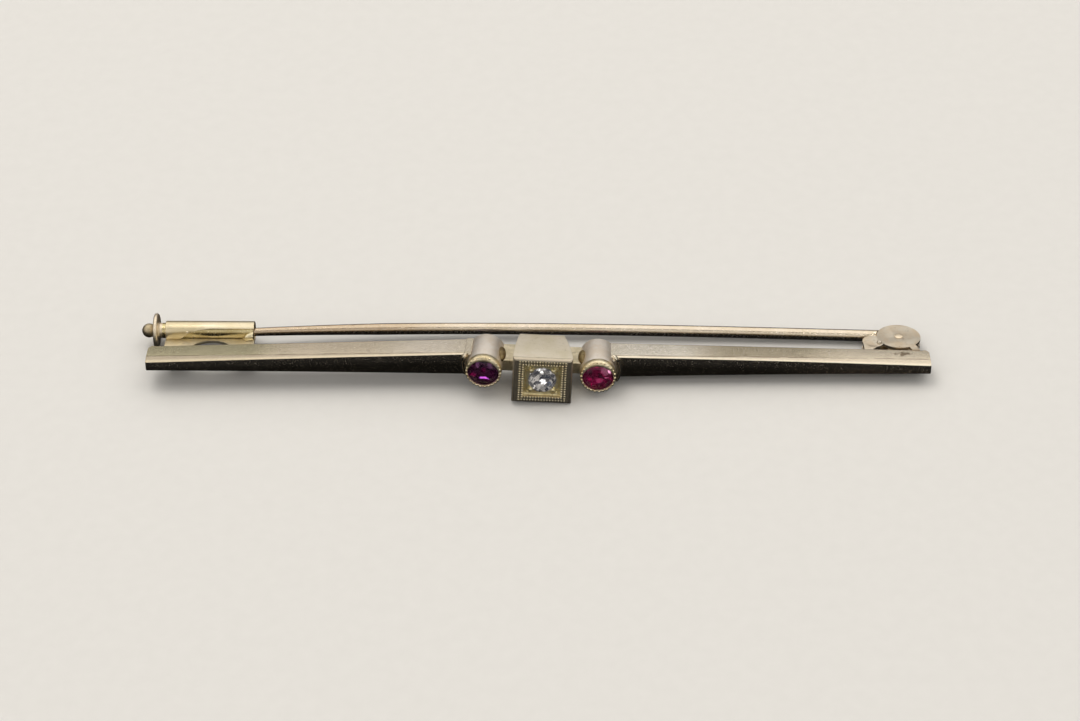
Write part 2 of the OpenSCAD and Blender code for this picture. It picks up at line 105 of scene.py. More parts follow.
@dataclass(frozen=True)
class Rest:
    """How the brooch lies: from its own upright axes, in millimetres, to the frame, in metres.

    Own axes: X along the bar towards the hinge, Y back from the bar's front face, Z up.
    """

    matrix: Matrix

    @classmethod
    def of_joints(cls, joints: Sequence[dict], rivet: Vector) -> "Rest":
        """Works the lie out from the two joints of the frame.

        Args:
            joints: The frame's joints.
            rivet: The rivet's place in own axes, in millimetres.

        Returns:
            The lie of the brooch.
        """
        named = {joint["name"]: joint for joint in joints}
        along = -Vector(named["safety_slide"]["axis"]).normalized()
        up = -Vector(named["pin_hinge"]["axis"]).normalized()
        turn = Matrix((along, up.cross(along), up)).transposed()
        place = Vector(named["pin_hinge"]["pos_m"]) - turn @ (rivet * MM)
        return cls(Matrix.Translation(place) @ turn.to_4x4() @ Matrix.Scale(MM, 4))

    def place(self, point: Sequence[float]) -> Vector:
        """A point of the own axes, in the frame."""
        return self.matrix @ Vector(point)


def arc(centre: Station, radius: float, start: float, end: float, count: int) -> list[Station]:
    """Points of a circular arc in a profile.

    Args:
        centre: Radius and height of the arc's centre.
        radius: Radius of the arc.
        start: First angle in degrees, 0 outwards and 90 upwards.
        end: Last angle in degrees.
        count: Number of steps.

    Returns:
        The arc's points, both ends among them.
    """
    turns = [math.radians(start + (end - start) * i / count) for i in range(count + 1)]
    return [(centre[0] + radius * math.cos(t), centre[1] + radius * math.sin(t)) for t in turns]


class Bench:
    """Models pieces in millimetres, in the brooch's own axes, with Blender's mesh operators."""

    def __init__(self, rest: Rest) -> None:
        """Sets the bench up.

        Args:
            rest: The lie that finished pieces are brought to.
        """
        self.rest = rest

    @staticmethod
    def only(*pieces: Piece) -> None:
        """Selects these pieces alone and makes the first the active one."""
        bpy.ops.object.select_all(action="DESELECT")
        for piece in pieces:
            piece.select_set(True)
        bpy.context.view_layer.objects.active = pieces[0]

    @contextmanager
    def edit(self, piece: Piece, mode: str = "FACE") -> Iterator[None]:
        """Puts a piece in edit mode for a while.

        Args:
            piece: The piece to edit.
            mode: The selection mode, VERT, EDGE or FACE.

        Yields:
            Nothing.
        """
        self.only(piece)
        bpy.ops.object.mode_set(mode="EDIT")
        bpy.ops.mesh.select_mode(type=mode)
        bpy.ops.mesh.select_all(action="SELECT")
        yield
        bpy.ops.object.mode_set(mode="OBJECT")

    @staticmethod
    def pick(piece: Piece, kind: str, test: Test) -> int:
        """Selects, in edit mode, only the elements that pass a test.

        Args:
            piece: The piece in edit mode.
            kind: verts, edges or faces.
            test: Takes the element and says whether it is wanted.

        Returns:
            How many were selected.
        """
        bpy.ops.mesh.select_mode(type={"verts": "VERT", "edges": "EDGE", "faces": "FACE"}[kind])
        bpy.ops.mesh.select_all(action="DESELECT")
        mesh = bmesh.from_edit_mesh(piece.data)
        wanted = [element for element in getattr(mesh, kind) if test(element)]
        for element in wanted:
            element.select_set(True)
        bmesh.update_edit_mesh(piece.data)
        return len(wanted)

    def settle(self, piece: Piece) -> Piece:
        """Applies a piece's place, turn and size to its mesh.

        Args:
            piece: The piece that was placed.

        Returns:
            The same piece.
        """
        self.only(piece)
        bpy.ops.object.transform_apply(location=True, rotation=True, scale=True)
        return piece

    def put(self, piece: Piece, matrix: Matrix) -> Piece:
        """Moves a settled piece by a matrix."""
        piece.matrix_world = matrix
        return self.settle(piece)

    def block(self, low: Sequence[float], high: Sequence[float]) -> Piece:
        """A block between two corners, to be shaped further.

        Args:
            low: The corner with the least X, Y and Z.
            high: The opposite corner.

        Returns:
            The block.
        """
        bpy.ops.object.select_all(action="DESELECT")
        middle = (Vector(low) + Vector(high)) / 2
        bpy.ops.mesh.primitive_cube_add(size=1, location=middle, scale=Vector(high) - Vector(low))
        return self.settle(bpy.context.object)

    def plate(self, outline: Sequence[Station], low: float, high: float) -> Piece:
        """A flat plate cut to a convex outline.

        Args:
            outline: Corners of the outline, anticlockwise, seen from above.
            low: Height of its underside.
            high: Height of its top.

        Returns:
            The plate.
        """
        xs, ys = zip(*outline, strict=True)
        room = 0.1
        piece = self.block(
            (min(xs) - room, min(ys) - room, low), (max(xs) + room, max(ys) + room, high)
        )
        for (x0, y0), (x1, y1) in zip(outline, [*outline[1:], outline[0]], strict=True):
            self.slice(piece, (x0, y0, 0), (y1 - y0, x0 - x1, 0))
        return piece

    def rod(self, radius: float, start: float, end: float, sides: int = ROUND) -> Piece:
        """A straight rod along Z, used to cut or to be shaped further.

        Args:
            radius: Its radius.
            start: Height of its lower end.
            end: Height of its upper end.
            sides: Number of its sides.

        Returns:
            The rod.
        """
        bpy.ops.object.select_all(action="DESELECT")
        bpy.ops.mesh.primitive_cylinder_add(
            vertices=sides, radius=radius, depth=end - start, location=(0, 0, (start + end) / 2)
        )
        return self.settle(bpy.context.object)

    def bead(self, radius: float, place: Sequence[float], level: int = 2) -> Piece:
        """A small round bead, to be sunk into metal.

        Args:
            radius: Its radius.
            place: Its middle.
            level: How finely its surface is divided.

        Returns:
            The bead.
        """
        bpy.ops.object.select_all(action="DESELECT")
        bpy.ops.mesh.primitive_ico_sphere_add(subdivisions=level, radius=radius, location=place)
        return self.settle(bpy.context.object)

    def turned(
        self,
        profile: Sequence[Station],
        sides: int = ROUND,
        start: Cap = Cap.OPEN,
        end: Cap = Cap.OPEN,
    ) -> Piece:
        """Turns a profile about Z, ring after ring. A profile that ends where it starts is a tube.

        Args:
            profile: Radius and height of each ring.
            sides: Number of points of a ring.
            start: How the first ring is closed.
            end: How the last ring is closed.

        Returns:
            The turned piece.
        """
        bpy.ops.object.select_all(action="DESELECT")
        radius, height = profile[0]
        bpy.ops.mesh.primitive_circle_add(
            vertices=sides, radius=radius, fill_type="NOTHING", location=(0, 0, height)
        )
        piece = self.settle(bpy.context.object)
        with self.edit(piece, "EDGE"):
            if start is not Cap.OPEN:
                self._close_ring(start)
                self.pick(piece, "edges", lambda e: len(e.link_faces) == 1)
            for new_radius, new_height in profile[1:]:
                bpy.ops.mesh.extrude_region_move(
                    TRANSFORM_OT_translate={"value": (0, 0, new_height - height)}
                )
                share = new_radius / radius
                bpy.ops.transform.resize(
                    value=(share, share, 1), center_override=(0, 0, new_height)
                )
                radius, height = new_radius, new_height
            if end is not Cap.OPEN:
                self._close_ring(end)
            self._heal()
        return piece

    @staticmethod
    def _close_ring(cap: Cap) -> None:
        """Closes the selected ring, flat or in a point.

        Args:
            cap: How it is closed.
        """
        if cap is Cap.FLAT:
            bpy.ops.mesh.edge_face_add()
        else:
            bpy.ops.mesh.extrude_region_move(TRANSFORM_OT_translate={"value": (0, 0, 0)})
            bpy.ops.mesh.merge(type="CENTER")

    @staticmethod
    def _heal() -> None:
        """Merges doubles and turns all faces outwards, in edit mode."""
        bpy.ops.mesh.select_all(action="SELECT")
        bpy.ops.mesh.remove_doubles(threshold=WELD)
        bpy.ops.mesh.normals_make_consistent(inside=False)

    def heal(self, piece: Piece) -> Piece:
        """Merges a piece's doubles and turns its faces outwards.

        Args:
            piece: The piece to mend.

        Returns:
            The same piece.
        """
        with self.edit(piece):
            self._heal()
        return piece

    def slice(
        self, piece: Piece, point: Sequence[float], normal: Sequence[float], cut: bool = True
    ) -> Piece:
        """Cuts a piece by a plane.

        Args:
            piece: The piece to cut.
            point: A point of the plane.
            normal: The plane's normal; what lies on its side is removed.
            cut: False leaves both sides and only adds the edges.

        Returns:
            The same piece.
        """
        with self.edit(piece):
            bpy.ops.mesh.bisect(
                plane_co=point, plane_no=normal, use_fill=cut, clear_outer=cut, threshold=ON_PLANE
            )
        return piece

    def thicken(self, piece: Piece, thickness: float) -> Piece:
        """Gives an open surface a thin wall on its outside.

        Args:
            piece: The open surface.
            thickness: Thickness of the wall.

        Returns:
            The same piece.
        """
        self.heal(piece)
        self._apply(piece, "SOLIDIFY", {"thickness": thickness, "offset": 1.0})
        return piece

    def _apply(self, piece: Piece, kind: str, settings: dict[str, Any]) -> None:
        """Adds a modifier with its settings and applies it.

        Args:
            piece: The piece that takes it.
            kind: The modifier's type.
            settings: Its settings by name.
        """
        self.only(piece)
        modifier = piece.modifiers.new(kind.title(), kind)
        for name, value in settings.items():
            setattr(modifier, name, value)
        bpy.ops.object.modifier_apply(modifier=modifier.name)

    def ease(self, piece: Piece, width: float, segments: int = 3, angle: float = 30) -> Piece:
        """Rounds a piece's edges, as polishing does.

        Args:
            piece: The piece to round.
            width: Width of the rounding in millimetres.
            segments: Number of steps across it.
            angle: Edges sharper than this many degrees are rounded.

        Returns:
            The same piece.
        """
        settings = {
            "width": width,
            "segments": segments,
            "limit_method": "ANGLE",
            "angle_limit": math.radians(angle),
            "use_clamp_overlap": True,
        }
        self._apply(piece, "BEVEL", settings)
        return piece

    def _combine(self, piece: Piece, tool: Piece, operation: str) -> Piece:
        """Combines a piece with another one, which is used up.

        Args:
            piece: The piece that stays.
            tool: The piece that is used up.
            operation: The Boolean modifier's operation.

        Returns:
            The piece that stays.
        """
        self._apply(piece, "BOOLEAN", {"object": tool, "operation": operation, "solver": "EXACT"})
        bpy.data.objects.remove(tool)
        return piece

    def cut(self, piece: Piece, tool: Piece) -> Piece:
        """Cuts a tool's shape out of a piece."""
        return self._combine(piece, tool, "DIFFERENCE")

    def fuse(self, piece: Piece, other: Piece) -> Piece:
        """Fuses another piece to a piece."""
        return self._combine(piece, other, "UNION")

    def join(self, piece: Piece, *others: Piece) -> Piece:
        """Joins pieces that lie against or in one another into one mesh.

        Args:
            piece: The piece that takes in the others.
            others: The others.

        Returns:
            The joined piece.
        """
        if others:
            self.only(piece, *others)
            bpy.ops.object.join()
        return piece

    def repeat(self, piece: Piece, matrices: Sequence[Matrix]) -> Piece:
        """Copies a piece, each copy with its own mesh, and joins the copies.

        Args:
            piece: The piece, modelled at the origin; it is used up.
            matrices: Where each copy goes.

        Returns:
            One piece of all the copies.
        """
        copies = []
        for matrix in matrices:
            copy = piece.copy()
            copy.data = piece.data.copy()
            bpy.context.scene.collection.objects.link(copy)
            copy.data.transform(matrix)
            copies.append(copy)
        bpy.data.objects.remove(piece)
        return self.join(copies[0], *copies[1:])

    def finish(
        self,
        piece: Piece,
        name: str,
        finish: "Finish",
        body: Body,
        replaces: Sequence[str] = (),
        smooth: float = 35,
    ) -> Piece:
        """Brings a modelled piece to its place, dresses it and hands it to the frame.

        Args:
            piece: The piece in own axes, in millimetres.
            name: Its name in the finished model.
            finish: The finish that it gets.
            body: The body that it rides on.
            replaces: The frame's nodes that it stands for.
            smooth: Edges flatter than this many degrees are shaded smooth.

        Returns:
            The finished piece.
        """
        self.put(piece, self.rest.matrix)
        piece.name = piece.data.name = name
        bpy.ops.object.shade_smooth_by_angle(angle=math.radians(smooth))
        self._apply(piece, "WEIGHTED_NORMAL", {"keep_sharp": True, "weight": 80})
        piece.data.materials.clear()
        piece.data.materials.append(finish.material(self.rest))
        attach(piece, body.value)
        if replaces:
            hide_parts(*replaces)
        LOG.info("%s: %d faces", name, len(piece.data.polygons))
        return piece


class Tone:
    """A number socket that Python expressions can work on."""

    def __init__(self, nodes: "Nodes", socket: Socket) -> None:
        """Wraps a socket.

        Args:
            nodes: The node tree that the socket is in.
            socket: The output socket.
        """
        self.nodes = nodes
        self.socket = socket

    def _math(self, operation: str, *values: "Tone | float") -> "Tone":
        """A Math node on the given values."""
        made = self.nodes.add("ShaderNodeMath", {"operation": operation}, dict(enumerate(values)))
        return Tone(self.nodes, made.outputs[0])

    def __add__(self, other: "Tone | float") -> "Tone":
        """Sum."""
        return self._math("ADD", self, other)

    __radd__ = __add__

    def __sub__(self, other: "Tone | float") -> "Tone":
        """Difference."""
        return self._math("SUBTRACT", self, other)

    def __rsub__(self, other: float) -> "Tone":
        """Difference from a number."""
        return self._math("SUBTRACT", other, self)

    def __mul__(self, other: "Tone | float") -> "Tone":
        """Product."""
        return self._math("MULTIPLY", self, other)

    __rmul__ = __mul__

    def __abs__(self) -> "Tone":
        """Size without sign."""
        return self._math("ABSOLUTE", self)

    def between(self, low: float, high: float) -> "Tone":
        """0 below low, 1 above high and a smooth step between; it falls if low is above high.

        Args:
            low: The value that becomes 0.
            high: The value that becomes 1.

        Returns:
            The step.
        """
        settings = {"interpolation_type": "SMOOTHSTEP", "clamp": True}
        if low > high:
            made = self.nodes.add("ShaderNodeMapRange", settings, {0: self, 1: high, 2: low})
            return 1 - Tone(self.nodes, made.outputs[0])
        made = self.nodes.add("ShaderNodeMapRange", settings, {0: self, 1: low, 2: high})
        return Tone(self.nodes, made.outputs[0])


class Nodes:
    """The node tree of one material."""

    def __init__(self, name: str) -> None:
        """Starts a material with an empty tree.

        Args:
            name: The material's name.
        """
        self.material = bpy.data.materials.new(name)
        self.material.use_nodes = True
        self.tree = self.material.node_tree
        self.tree.nodes.clear()

    def add(
        self, kind: str, settings: dict[str, Any] | None = None, sockets: dict[Any, Any] | None = None
    ) -> bpy.types.Node:
        """Adds a node.

        Args:
            kind: The node's type.
            settings: Its settings, which are set first; stops are a ramp's places and colours.
            sockets: Values, tones or sockets by the input's name or number.

        Returns:
            The new node.
        """
        made = self.tree.nodes.new(kind)
        for name, value in (settings or {}).items():
            if name == "stops":
                self._stops(made, value)
            else:
                setattr(made, name, value)
        for key, value in (sockets or {}).items():
            if isinstance(value, Tone):
                value = value.socket
            if isinstance(value, Socket):
                self.tree.links.new(value, made.inputs[key])
            else:
                made.inputs[key].default_value = value
        return made

    @staticmethod
    def _stops(ramp: bpy.types.Node, stops: Sequence[tuple[float, Colour]]) -> None:
        """Sets a ramp's stops.

        Args:
            ramp: The ramp.
            stops: Place and colour of each stop.
        """
        elements = ramp.color_ramp.elements
        while len(elements) < len(stops):
            elements.new(0.5)
        for element, (place, colour) in zip(elements, stops, strict=True):
            element.position = place
            element.color = (*colour, 1)

    def own_axes(self, rest: Rest) -> Socket:
        """The point in the brooch's own axes, in millimetres, from Object coordinates.

        Args:
            rest: The lie of the brooch.

        Returns:
            The point.
        """
        inverse = rest.matrix.inverted()
        made = self.add(
            "ShaderNodeMapping",
            {"vector_type": "POINT"},
            {
                0: self.add("ShaderNodeTexCoord").outputs["Object"],
                "Location": inverse.to_translation(),
                "Rotation": inverse.to_euler(),
                "Scale": (1 / MM, 1 / MM, 1 / MM),
            },
        )
        return made.outputs[0]

    def stretched(
        self, vector: Socket, scale: Sequence[float], turn: Sequence[float] = (0, 0, 0)
    ) -> Socket:
        """Coordinates turned by degrees and then scaled, for a pattern with a direction.

        Args:
            vector: The coordinates.
            scale: Scale along each axis.
            turn: Turn about each axis, in degrees.

        Returns:
            The new coordinates.
        """
        angles = [math.radians(a) for a in turn]
        turned = self.add("ShaderNodeMapping", None, {0: vector, "Rotation": Euler(angles)})
        return self.add("ShaderNodeMapping", None, {0: turned.outputs[0], "Scale": scale}).outputs[0]

    def noise(self, vector: Socket, scale: float, detail: float = 2, rough: float = 0.5) -> Tone:
        """Noise of about scale waves a millimetre."""
        sockets = {"Vector": vector, "Scale": scale, "Detail": detail, "Roughness": rough}
        return Tone(self, self.add("ShaderNodeTexNoise", None, sockets).outputs["Fac"])

    def cells(self, vector: Socket, scale: float) -> Socket:
        """A random colour for each cell of a pattern of about scale cells a millimetre."""
        sockets = {"Vector": vector, "Scale": scale}
        return self.add("ShaderNodeTexVoronoi", None, sockets).outputs["Color"]

    def axis(self, vector: Socket, name: str) -> Tone:
        """One coordinate of a vector."""
        return Tone(self, self.add("ShaderNodeSeparateXYZ", None, {0: vector}).outputs[name])

    def mix(self, share: "Tone | float", first: Any, second: Any) -> Socket:
        """A colour between two colours.

        Args:
            share: Share of the second colour.
            first: The first colour.
            second: The second colour.

        Returns:
            The mixed colour.
        """
        colours = [(*c, 1) if isinstance(c, tuple) else c for c in (first, second)]
        settings = {"data_type": "RGBA", "clamp_factor": True}
        made = self.add("ShaderNodeMix", settings, {0: share, 6: colours[0], 7: colours[1]})
        return made.outputs[2]

    def bump(self, height: Tone, depth_mm: float) -> Socket:
        """A normal from a height of 0 to 1 that stands for a depth in millimetres."""
        sockets = {"Height": height, "Distance": depth_mm * MM, "Strength": 1.0}
        return self.add("ShaderNodeBump", None, sockets).outputs[0]

    def output(self, shader: Socket) -> bpy.types.Material:
        """Joins the shader to the output and returns the material."""
        self.add("ShaderNodeOutputMaterial", None, {"Surface": shader})
        return self.material


@dataclass(frozen=True)
class Finish:
    """A finish with its name and the record's slot that it stands for."""

    name: str
    slot: str

    def material(self, rest: Rest) -> bpy.types.Material:
        """The finish's material, made once.

        Args:
            rest: The lie of the brooch, for patterns in its own axes.

        Returns:
            The material.
        """
        found = bpy.data.materials.get(self.name)
        return found if found else self.build(Nodes(self.name), rest)

    def build(self, nodes: Nodes, rest: Rest) -> bpy.types.Material:
        """Builds the material's nodes; each kind of finish has its own."""
        raise NotImplementedError


@dataclass(frozen=True)
class Zone:
    """A stretch of the metal along X, in millimetres, with a colour of its own."""

    start: float
    end: float
    colour: Colour
    fade: float = 2.5

    def near(self, x: Tone) -> Tone:
        """1 inside the stretch, fading to 0 outside it."""
        rising = x.between(self.start - self.fade, self.start + self.fade)
        return rising * x.between(self.end + self.fade, self.end - self.fade)


@dataclass(frozen=True)
class Hairs:
    """A set of parallel hair scratches: its turn in degrees and its waves to a millimetre."""

    turn: Spot
    waves: Spot
    start: float
    fade: float = 0.05

    def tone(self, nodes: Nodes, own: Socket) -> Tone:
        """1 on a scratch and 0 beside it."""
        noise = nodes.noise(nodes.stretched(own, self.waves, self.turn), 1, 1)
        return noise.between(self.start, self.start + self.fade)


@dataclass(frozen=True)
class Wear:
    """How wear shows on every gold: waves to a millimetre, the noise that shows, and its strength."""

    hairs: tuple[Hairs, Hairs] = (
        Hairs((18, 11, 24), (0.5, 26, 26), 0.66),
        Hairs((-31, -17, -38), (0.7, 31, 31), 0.68),
    )
    cloud_shows: Station = (0.36, 0.64)
    mottle_waves: float = 2.6
    line_waves: Spot = (0.35, 17, 17)
    pit_waves: float = 7
    pit_shows: Station = (0.71, 0.77)
    pit_dark: float = 0.6
    pit_rough: float = 0.25
    pit_deep: float = 1.4
    dull_shows: Station = (0.56, 0.74)
    zone_share: Station = (0.5, 0.6)
    line_rough: float = 0.2
    mottle_rough: float = 0.12
    mottle_deep: float = 1.3
    hair_rough: float = 0.12
    dent_waves: float = 0.6
    dent_deep: float = 5
    depth: float = 0.006


WEAR = Wear()


@dataclass(frozen=True)
class Gold(Finish):
    """Worn gold: soft clouds of colour, brushed lines, hair scratches, pits and tarnish."""

    light: Colour
    deep: Colour
    tarnish: Colour = (0.20, 0.14, 0.08)
    rough: float = 0.22
    brushed: float = 0.5
    scratched: float = 0.5
    pitted: float = 0.4
    tarnished: float = 0.15
    dents: float = 0.5
    cloud: float = 0.45
    zones: tuple[Zone, ...] = ()

    def build(self, nodes: Nodes, rest: Rest) -> bpy.types.Material:
        """Builds the worn metal.

        Args:
            nodes: The material's empty tree.
            rest: The lie of the brooch.

        Returns:
            The material.
        """
        own = nodes.own_axes(rest)
        clouds = nodes.noise(own, self.cloud, 4, 0.6).between(*WEAR.cloud_shows)
        mottle = nodes.noise(own, WEAR.mottle_waves, 4, 0.62)
        lines = nodes.noise(nodes.stretched(own, WEAR.line_waves), 1, 3, 0.6)
        hairs = WEAR.hairs[0].tone(nodes, own) + WEAR.hairs[1].tone(nodes, own)
        pits = nodes.noise(own, WEAR.pit_waves, 2).between(*WEAR.pit_shows)
        dull = mottle.between(*WEAR.dull_shows) * self.tarnished
        colour = nodes.mix(clouds, self.light, self.deep)
        x = nodes.axis(own, "X")
        for zone in self.zones:
            near = zone.near(x) * (mottle * WEAR.zone_share[0] + WEAR.zone_share[1])
            colour = nodes.mix(near, colour, zone.colour)
        colour = nodes.mix(dull + pits * (WEAR.pit_dark * self.pitted), colour, self.tarnish)
        colour = self.marks(nodes, own, colour, mottle)
        rough = (
            self.rough
            + (lines - 0.5) * (WEAR.line_rough * self.brushed)
            + (mottle - 0.5) * WEAR.mottle_rough
            + hairs * (WEAR.hair_rough * self.scratched)
            + pits * (WEAR.pit_rough * self.pitted)
        )
        height = (
            lines * self.brushed
            - hairs * self.scratched
            - pits * (WEAR.pit_deep * self.pitted)
            + mottle * (WEAR.mottle_deep * self.dents)
            + nodes.noise(own, WEAR.dent_waves, 1) * (WEAR.dent_deep * self.dents)
        )
        shader = nodes.add(
            "ShaderNodeBsdfPrincipled",
            None,
            {
                "Base Color": colour,
                "Metallic": 1.0,
                "Roughness": rough,
                "Normal": nodes.bump(height, WEAR.depth),
            },
        )
        return nodes.output(shader.outputs[0])

    def marks(self, nodes: Nodes, own: Socket, colour: Socket, mottle: Tone) -> Socket:
        """Marks that only some golds have; plain gold has none.

        Args:
            nodes: The material's tree.
            own: The point in own axes.
            colour: The metal's colour so far.
            mottle: The fine mottling.

        Returns:
            The colour with the marks.
        """
        return colour

@dataclass(frozen=True)
class BarGold(Gold):
    """The bar's gold: a low bevel with a painted highlight, lighter to the right and at its front edge, a
    dirty fold, a dark patch by the hinge, and a painted dark reflection on the front face.
    """

    end_x: float = 30.0
    front_y: Station = (0.1, 0.25)
    fold_end: float = 0.8
    fold_fall: float = 0.0213
    line_half: float = 0.09
    front_top: float = 0.3
    front_rise: Station = (0.034, 0.0217)
    front_fade: float = 0.04
    front_from: Station = (-0.1, -0.04)
    front_to: Station = (0.4, 0.3)
    bright_to: Station = (0.9, 0.05)
    warm_from: Station = (17, 25)
    tone_x: float = 24.0
    band_fade: float = 0.04
    band_share: float = 0.85
    rim_to: Station = (0.42, 0.18)
    line_waves: Spot = (0.6, 4, 4)
    line_shows: Station = (0.38, 0.56)
    line_dark: float = 0.6
    # A dark patch on the bar in front of the hinge: its middle, flattening, raggedness, edge and strength.
    stain: Station = (28.0, 1.75)
    stain_flat: float = 0.5
    stain_ragged: float = 1.4
    stain_to: Station = (0.5, 0.12)
    stain_dark: float = 0.8
    # Colours of the painted highlight on the low bevel and its front edge, and of the painted reflection on
    # the front face.
    band: tuple[Colour, Colour] = ((0.53, 0.455, 0.345), (0.80, 0.70, 0.56))
    rim: tuple[Colour, Colour] = ((0.76, 0.65, 0.48), (0.95, 0.86, 0.69))
    front: tuple[Colour, Colour, Colour] = ((0.30, 0.26, 0.19), (0.85, 0.66, 0.46), (1.0, 0.88, 0.70))

    def marks(self, nodes: Nodes, own: Socket, colour: Socket, mottle: Tone) -> Socket:
        """Draws the low bevel's painted highlight, its fold line, the dark patch by the hinge and the
        painted reflection on the front face.

        Args:
            nodes: The material's tree.
            own: The point in own axes.
            colour: The metal's colour so far.
            mottle: The fine mottling.

        Returns:
            The colour with the marks.
        """
        x, y, z = (nodes.axis(own, name) for name in "XYZ")
        inward = self.end_x - abs(x)
        right = x.between(-0.5, 0.5)
        ahead = right * (self.front_y[1] - self.front_y[0]) + self.front_y[0]
        fold = ahead + self.fold_end - inward * self.fold_fall
        # Painted highlight on the low bevel: lighter towards the right end and lightest along the front
        # edge.
        band = (y - fold).between(self.band_fade, -self.band_fade)
        across, rim = x.between(-self.tone_x, self.tone_x), (y - ahead).between(*self.rim_to)
        tint = nodes.mix(rim, nodes.mix(across, *self.band), nodes.mix(across, *self.rim))
        colour = nodes.mix(band * self.band_share, colour, tint)
        broken = nodes.noise(nodes.stretched(own, self.line_waves), 1, 3).between(*self.line_shows)
        line = abs(y - fold).between(self.line_half, 0) * broken
        # A dark patch on the bar in front of the hinge, with a ragged edge.
        off = abs(x - self.stain[0]) * self.stain_flat + abs(y - self.stain[1])
        stain = (off + (mottle - 0.5) * self.stain_ragged).between(*self.stain_to)
        colour = nodes.mix(line * self.line_dark + stain * self.stain_dark, colour, self.tarnish)
        # Painted reflection on the front face: dark low down, lighter at the right end, bright just under
        # the top edge.
        rise = right * (self.front_rise[1] - self.front_rise[0]) + self.front_rise[0]
        below = inward * rise + self.front_top - z
        deep = y - ahead
        front = below.between(0.0, self.front_fade) * deep.between(*self.front_to)
        low = nodes.mix(x.between(*self.warm_from), *self.front[:2])
        shade = nodes.mix(below.between(*self.bright_to), low, self.front[2])
        return nodes.mix(front * deep.between(*self.front_from), colour, shade)


@dataclass(frozen=True)
class BoxGold(Gold):
    """The box's gold with painted shade: a darker bevel, and a much darker frame ahead of the bevel, as
    painted dark reflections.
    """

    # Painted shade: a darker colour for the bevel and a much darker one for the frame.
    bevel: Colour = (0.80, 0.71, 0.56)
    frame: Colour = (0.40, 0.35, 0.27)
    bevel_y: float = -1.65
    frame_y: float = -1.8
    bevel_fade: float = 0.03
    frame_fade: float = 0.05
    fold_half: float = 0.08
    fold_share: Station = (0.6, 0.3)
    frame_share: Station = (0.6, 0.55)

    def marks(self, nodes: Nodes, own: Socket, colour: Socket, mottle: Tone) -> Socket:
        """Draws the fold behind the bevel and darkens the bevel and the frame with painted shade.

        Args:
            nodes: The material's tree.
            own: The point in own axes.
            colour: The metal's colour so far.
            mottle: The fine mottling.

        Returns:
            The colour with the marks.
        """
        y = nodes.axis(own, "Y")
        fade = self.bevel_fade
        # Painted shade on the bevel.
        colour = nodes.mix(y.between(self.bevel_y + fade, self.bevel_y - fade), colour, self.bevel)
        fold = abs(y - self.bevel_y - fade).between(self.fold_half, 0)
        uneven = mottle * self.fold_share[0] + self.fold_share[1]
        colour = nodes.mix(fold * uneven, colour, self.tarnish)
        # Painted dark reflection on the frame ahead of the bevel, uneven with the mottling.
        ahead = y.between(self.frame_y + self.frame_fade, self.frame_y)
        uneven = mottle * self.frame_share[0] + self.frame_share[1]
        return nodes.mix(ahead * uneven, colour, self.frame)


@dataclass(frozen=True)
class Gem(Finish):
    """The clear crown of a cut stone."""

    colour: Colour
    index: float
    specular: float = 0.5
    rough: float = 0.0
    veil_waves: float = 1.6
    veil_shows: Station = (0.4, 0.7)
    veil_dark: float = 0.8

    def build(self, nodes: Nodes, rest: Rest) -> bpy.types.Material:
        """Builds the clear stone.

        Args:
            nodes: The material's empty tree.
            rest: The lie of the brooch.

        Returns:
            The material.
        """
        own = nodes.own_axes(rest)
        veil = nodes.noise(own, self.veil_waves, 3).between(*self.veil_shows)
        deep = tuple(c * self.veil_dark for c in self.colour)
        shader = nodes.add(
            "ShaderNodeBsdfPrincipled",
            None,
            {
                "Base Color": nodes.mix(veil, self.colour, deep),
                "Roughness": self.rough,
                "IOR": self.index,
                "Specular IOR Level": self.specular,
                "Transmission Weight": 1.0,
            },
        )
        return nodes.output(shader.outputs[0])


@dataclass(frozen=True)
class Glint:
    """A painted patch of light or of shade in a stone: its middle and half sizes in millimetres, and its
    colour.
    """

    middle: Station
    half: Station
    colour: Colour


@dataclass(frozen=True)
class Foil(Finish):
    """The back facets of a stone with the light that they throw back to the front painted on them: a
    painted sparkle, random from cell to cell, painted patches of light and shade, and a painted glow.
    """

    light: Colour
    deep: Colour
    dark: Colour
    glints: tuple[Glint, ...] = ()
    centre: Station = (0.0, 0.0)
    rough: float = 0.06
    facets: float = 3.6
    scatter: float = 0.3
    glow: float = 0.5
    dim: float = 0.6
    deep_from: Station = (0.15, 0.35)
    light_from: Station = (0.6, 0.7)
    glint_to: Station = (1.15, 0.5)

    def build(self, nodes: Nodes, rest: Rest) -> bpy.types.Material:
        """Builds the back facets' painted light, which also glows.

        Args:
            nodes: The material's empty tree.
            rest: The lie of the brooch.

        Returns:
            The material.
        """
        own = nodes.own_axes(rest)
        cells = nodes.cells(own, self.facets)
        turn = nodes.axis(cells, "Z")
        # Painted sparkle: each cell gets a dark, deep or light painted tone at random.
        colour = nodes.mix(turn.between(*self.deep_from), self.dark, self.deep)
        colour = nodes.mix(turn.between(*self.light_from), colour, self.light)
        x = nodes.axis(own, "X") - self.centre[0] + (nodes.axis(cells, "X") - 0.5) * self.scatter
        z = nodes.axis(own, "Z") - self.centre[1] + (nodes.axis(cells, "Y") - 0.5) * self.scatter
        # Painted patches: glints of light and dark patches of shade.
        for painted_patch in self.glints:
            across = (x - painted_patch.middle[0]) * (1 / painted_patch.half[0])
            up = (z - painted_patch.middle[1]) * (1 / painted_patch.half[1])
            near = (across * across + up * up).between(*self.glint_to)
            colour = nodes.mix(near, colour, painted_patch.colour)
        # The painted colour glows through Emission, though no lamp is there.
        shader = nodes.add(
            "ShaderNodeBsdfPrincipled",
            None,
            {
                "Base Color": nodes.mix(self.dim, colour, self.dark),
                "Metallic": 1.0,
                "Roughness": self.rough,
                "Emission Color": colour,
                "Emission Strength": self.glow,
            },
        )
        return nodes.output(shader.outputs[0])


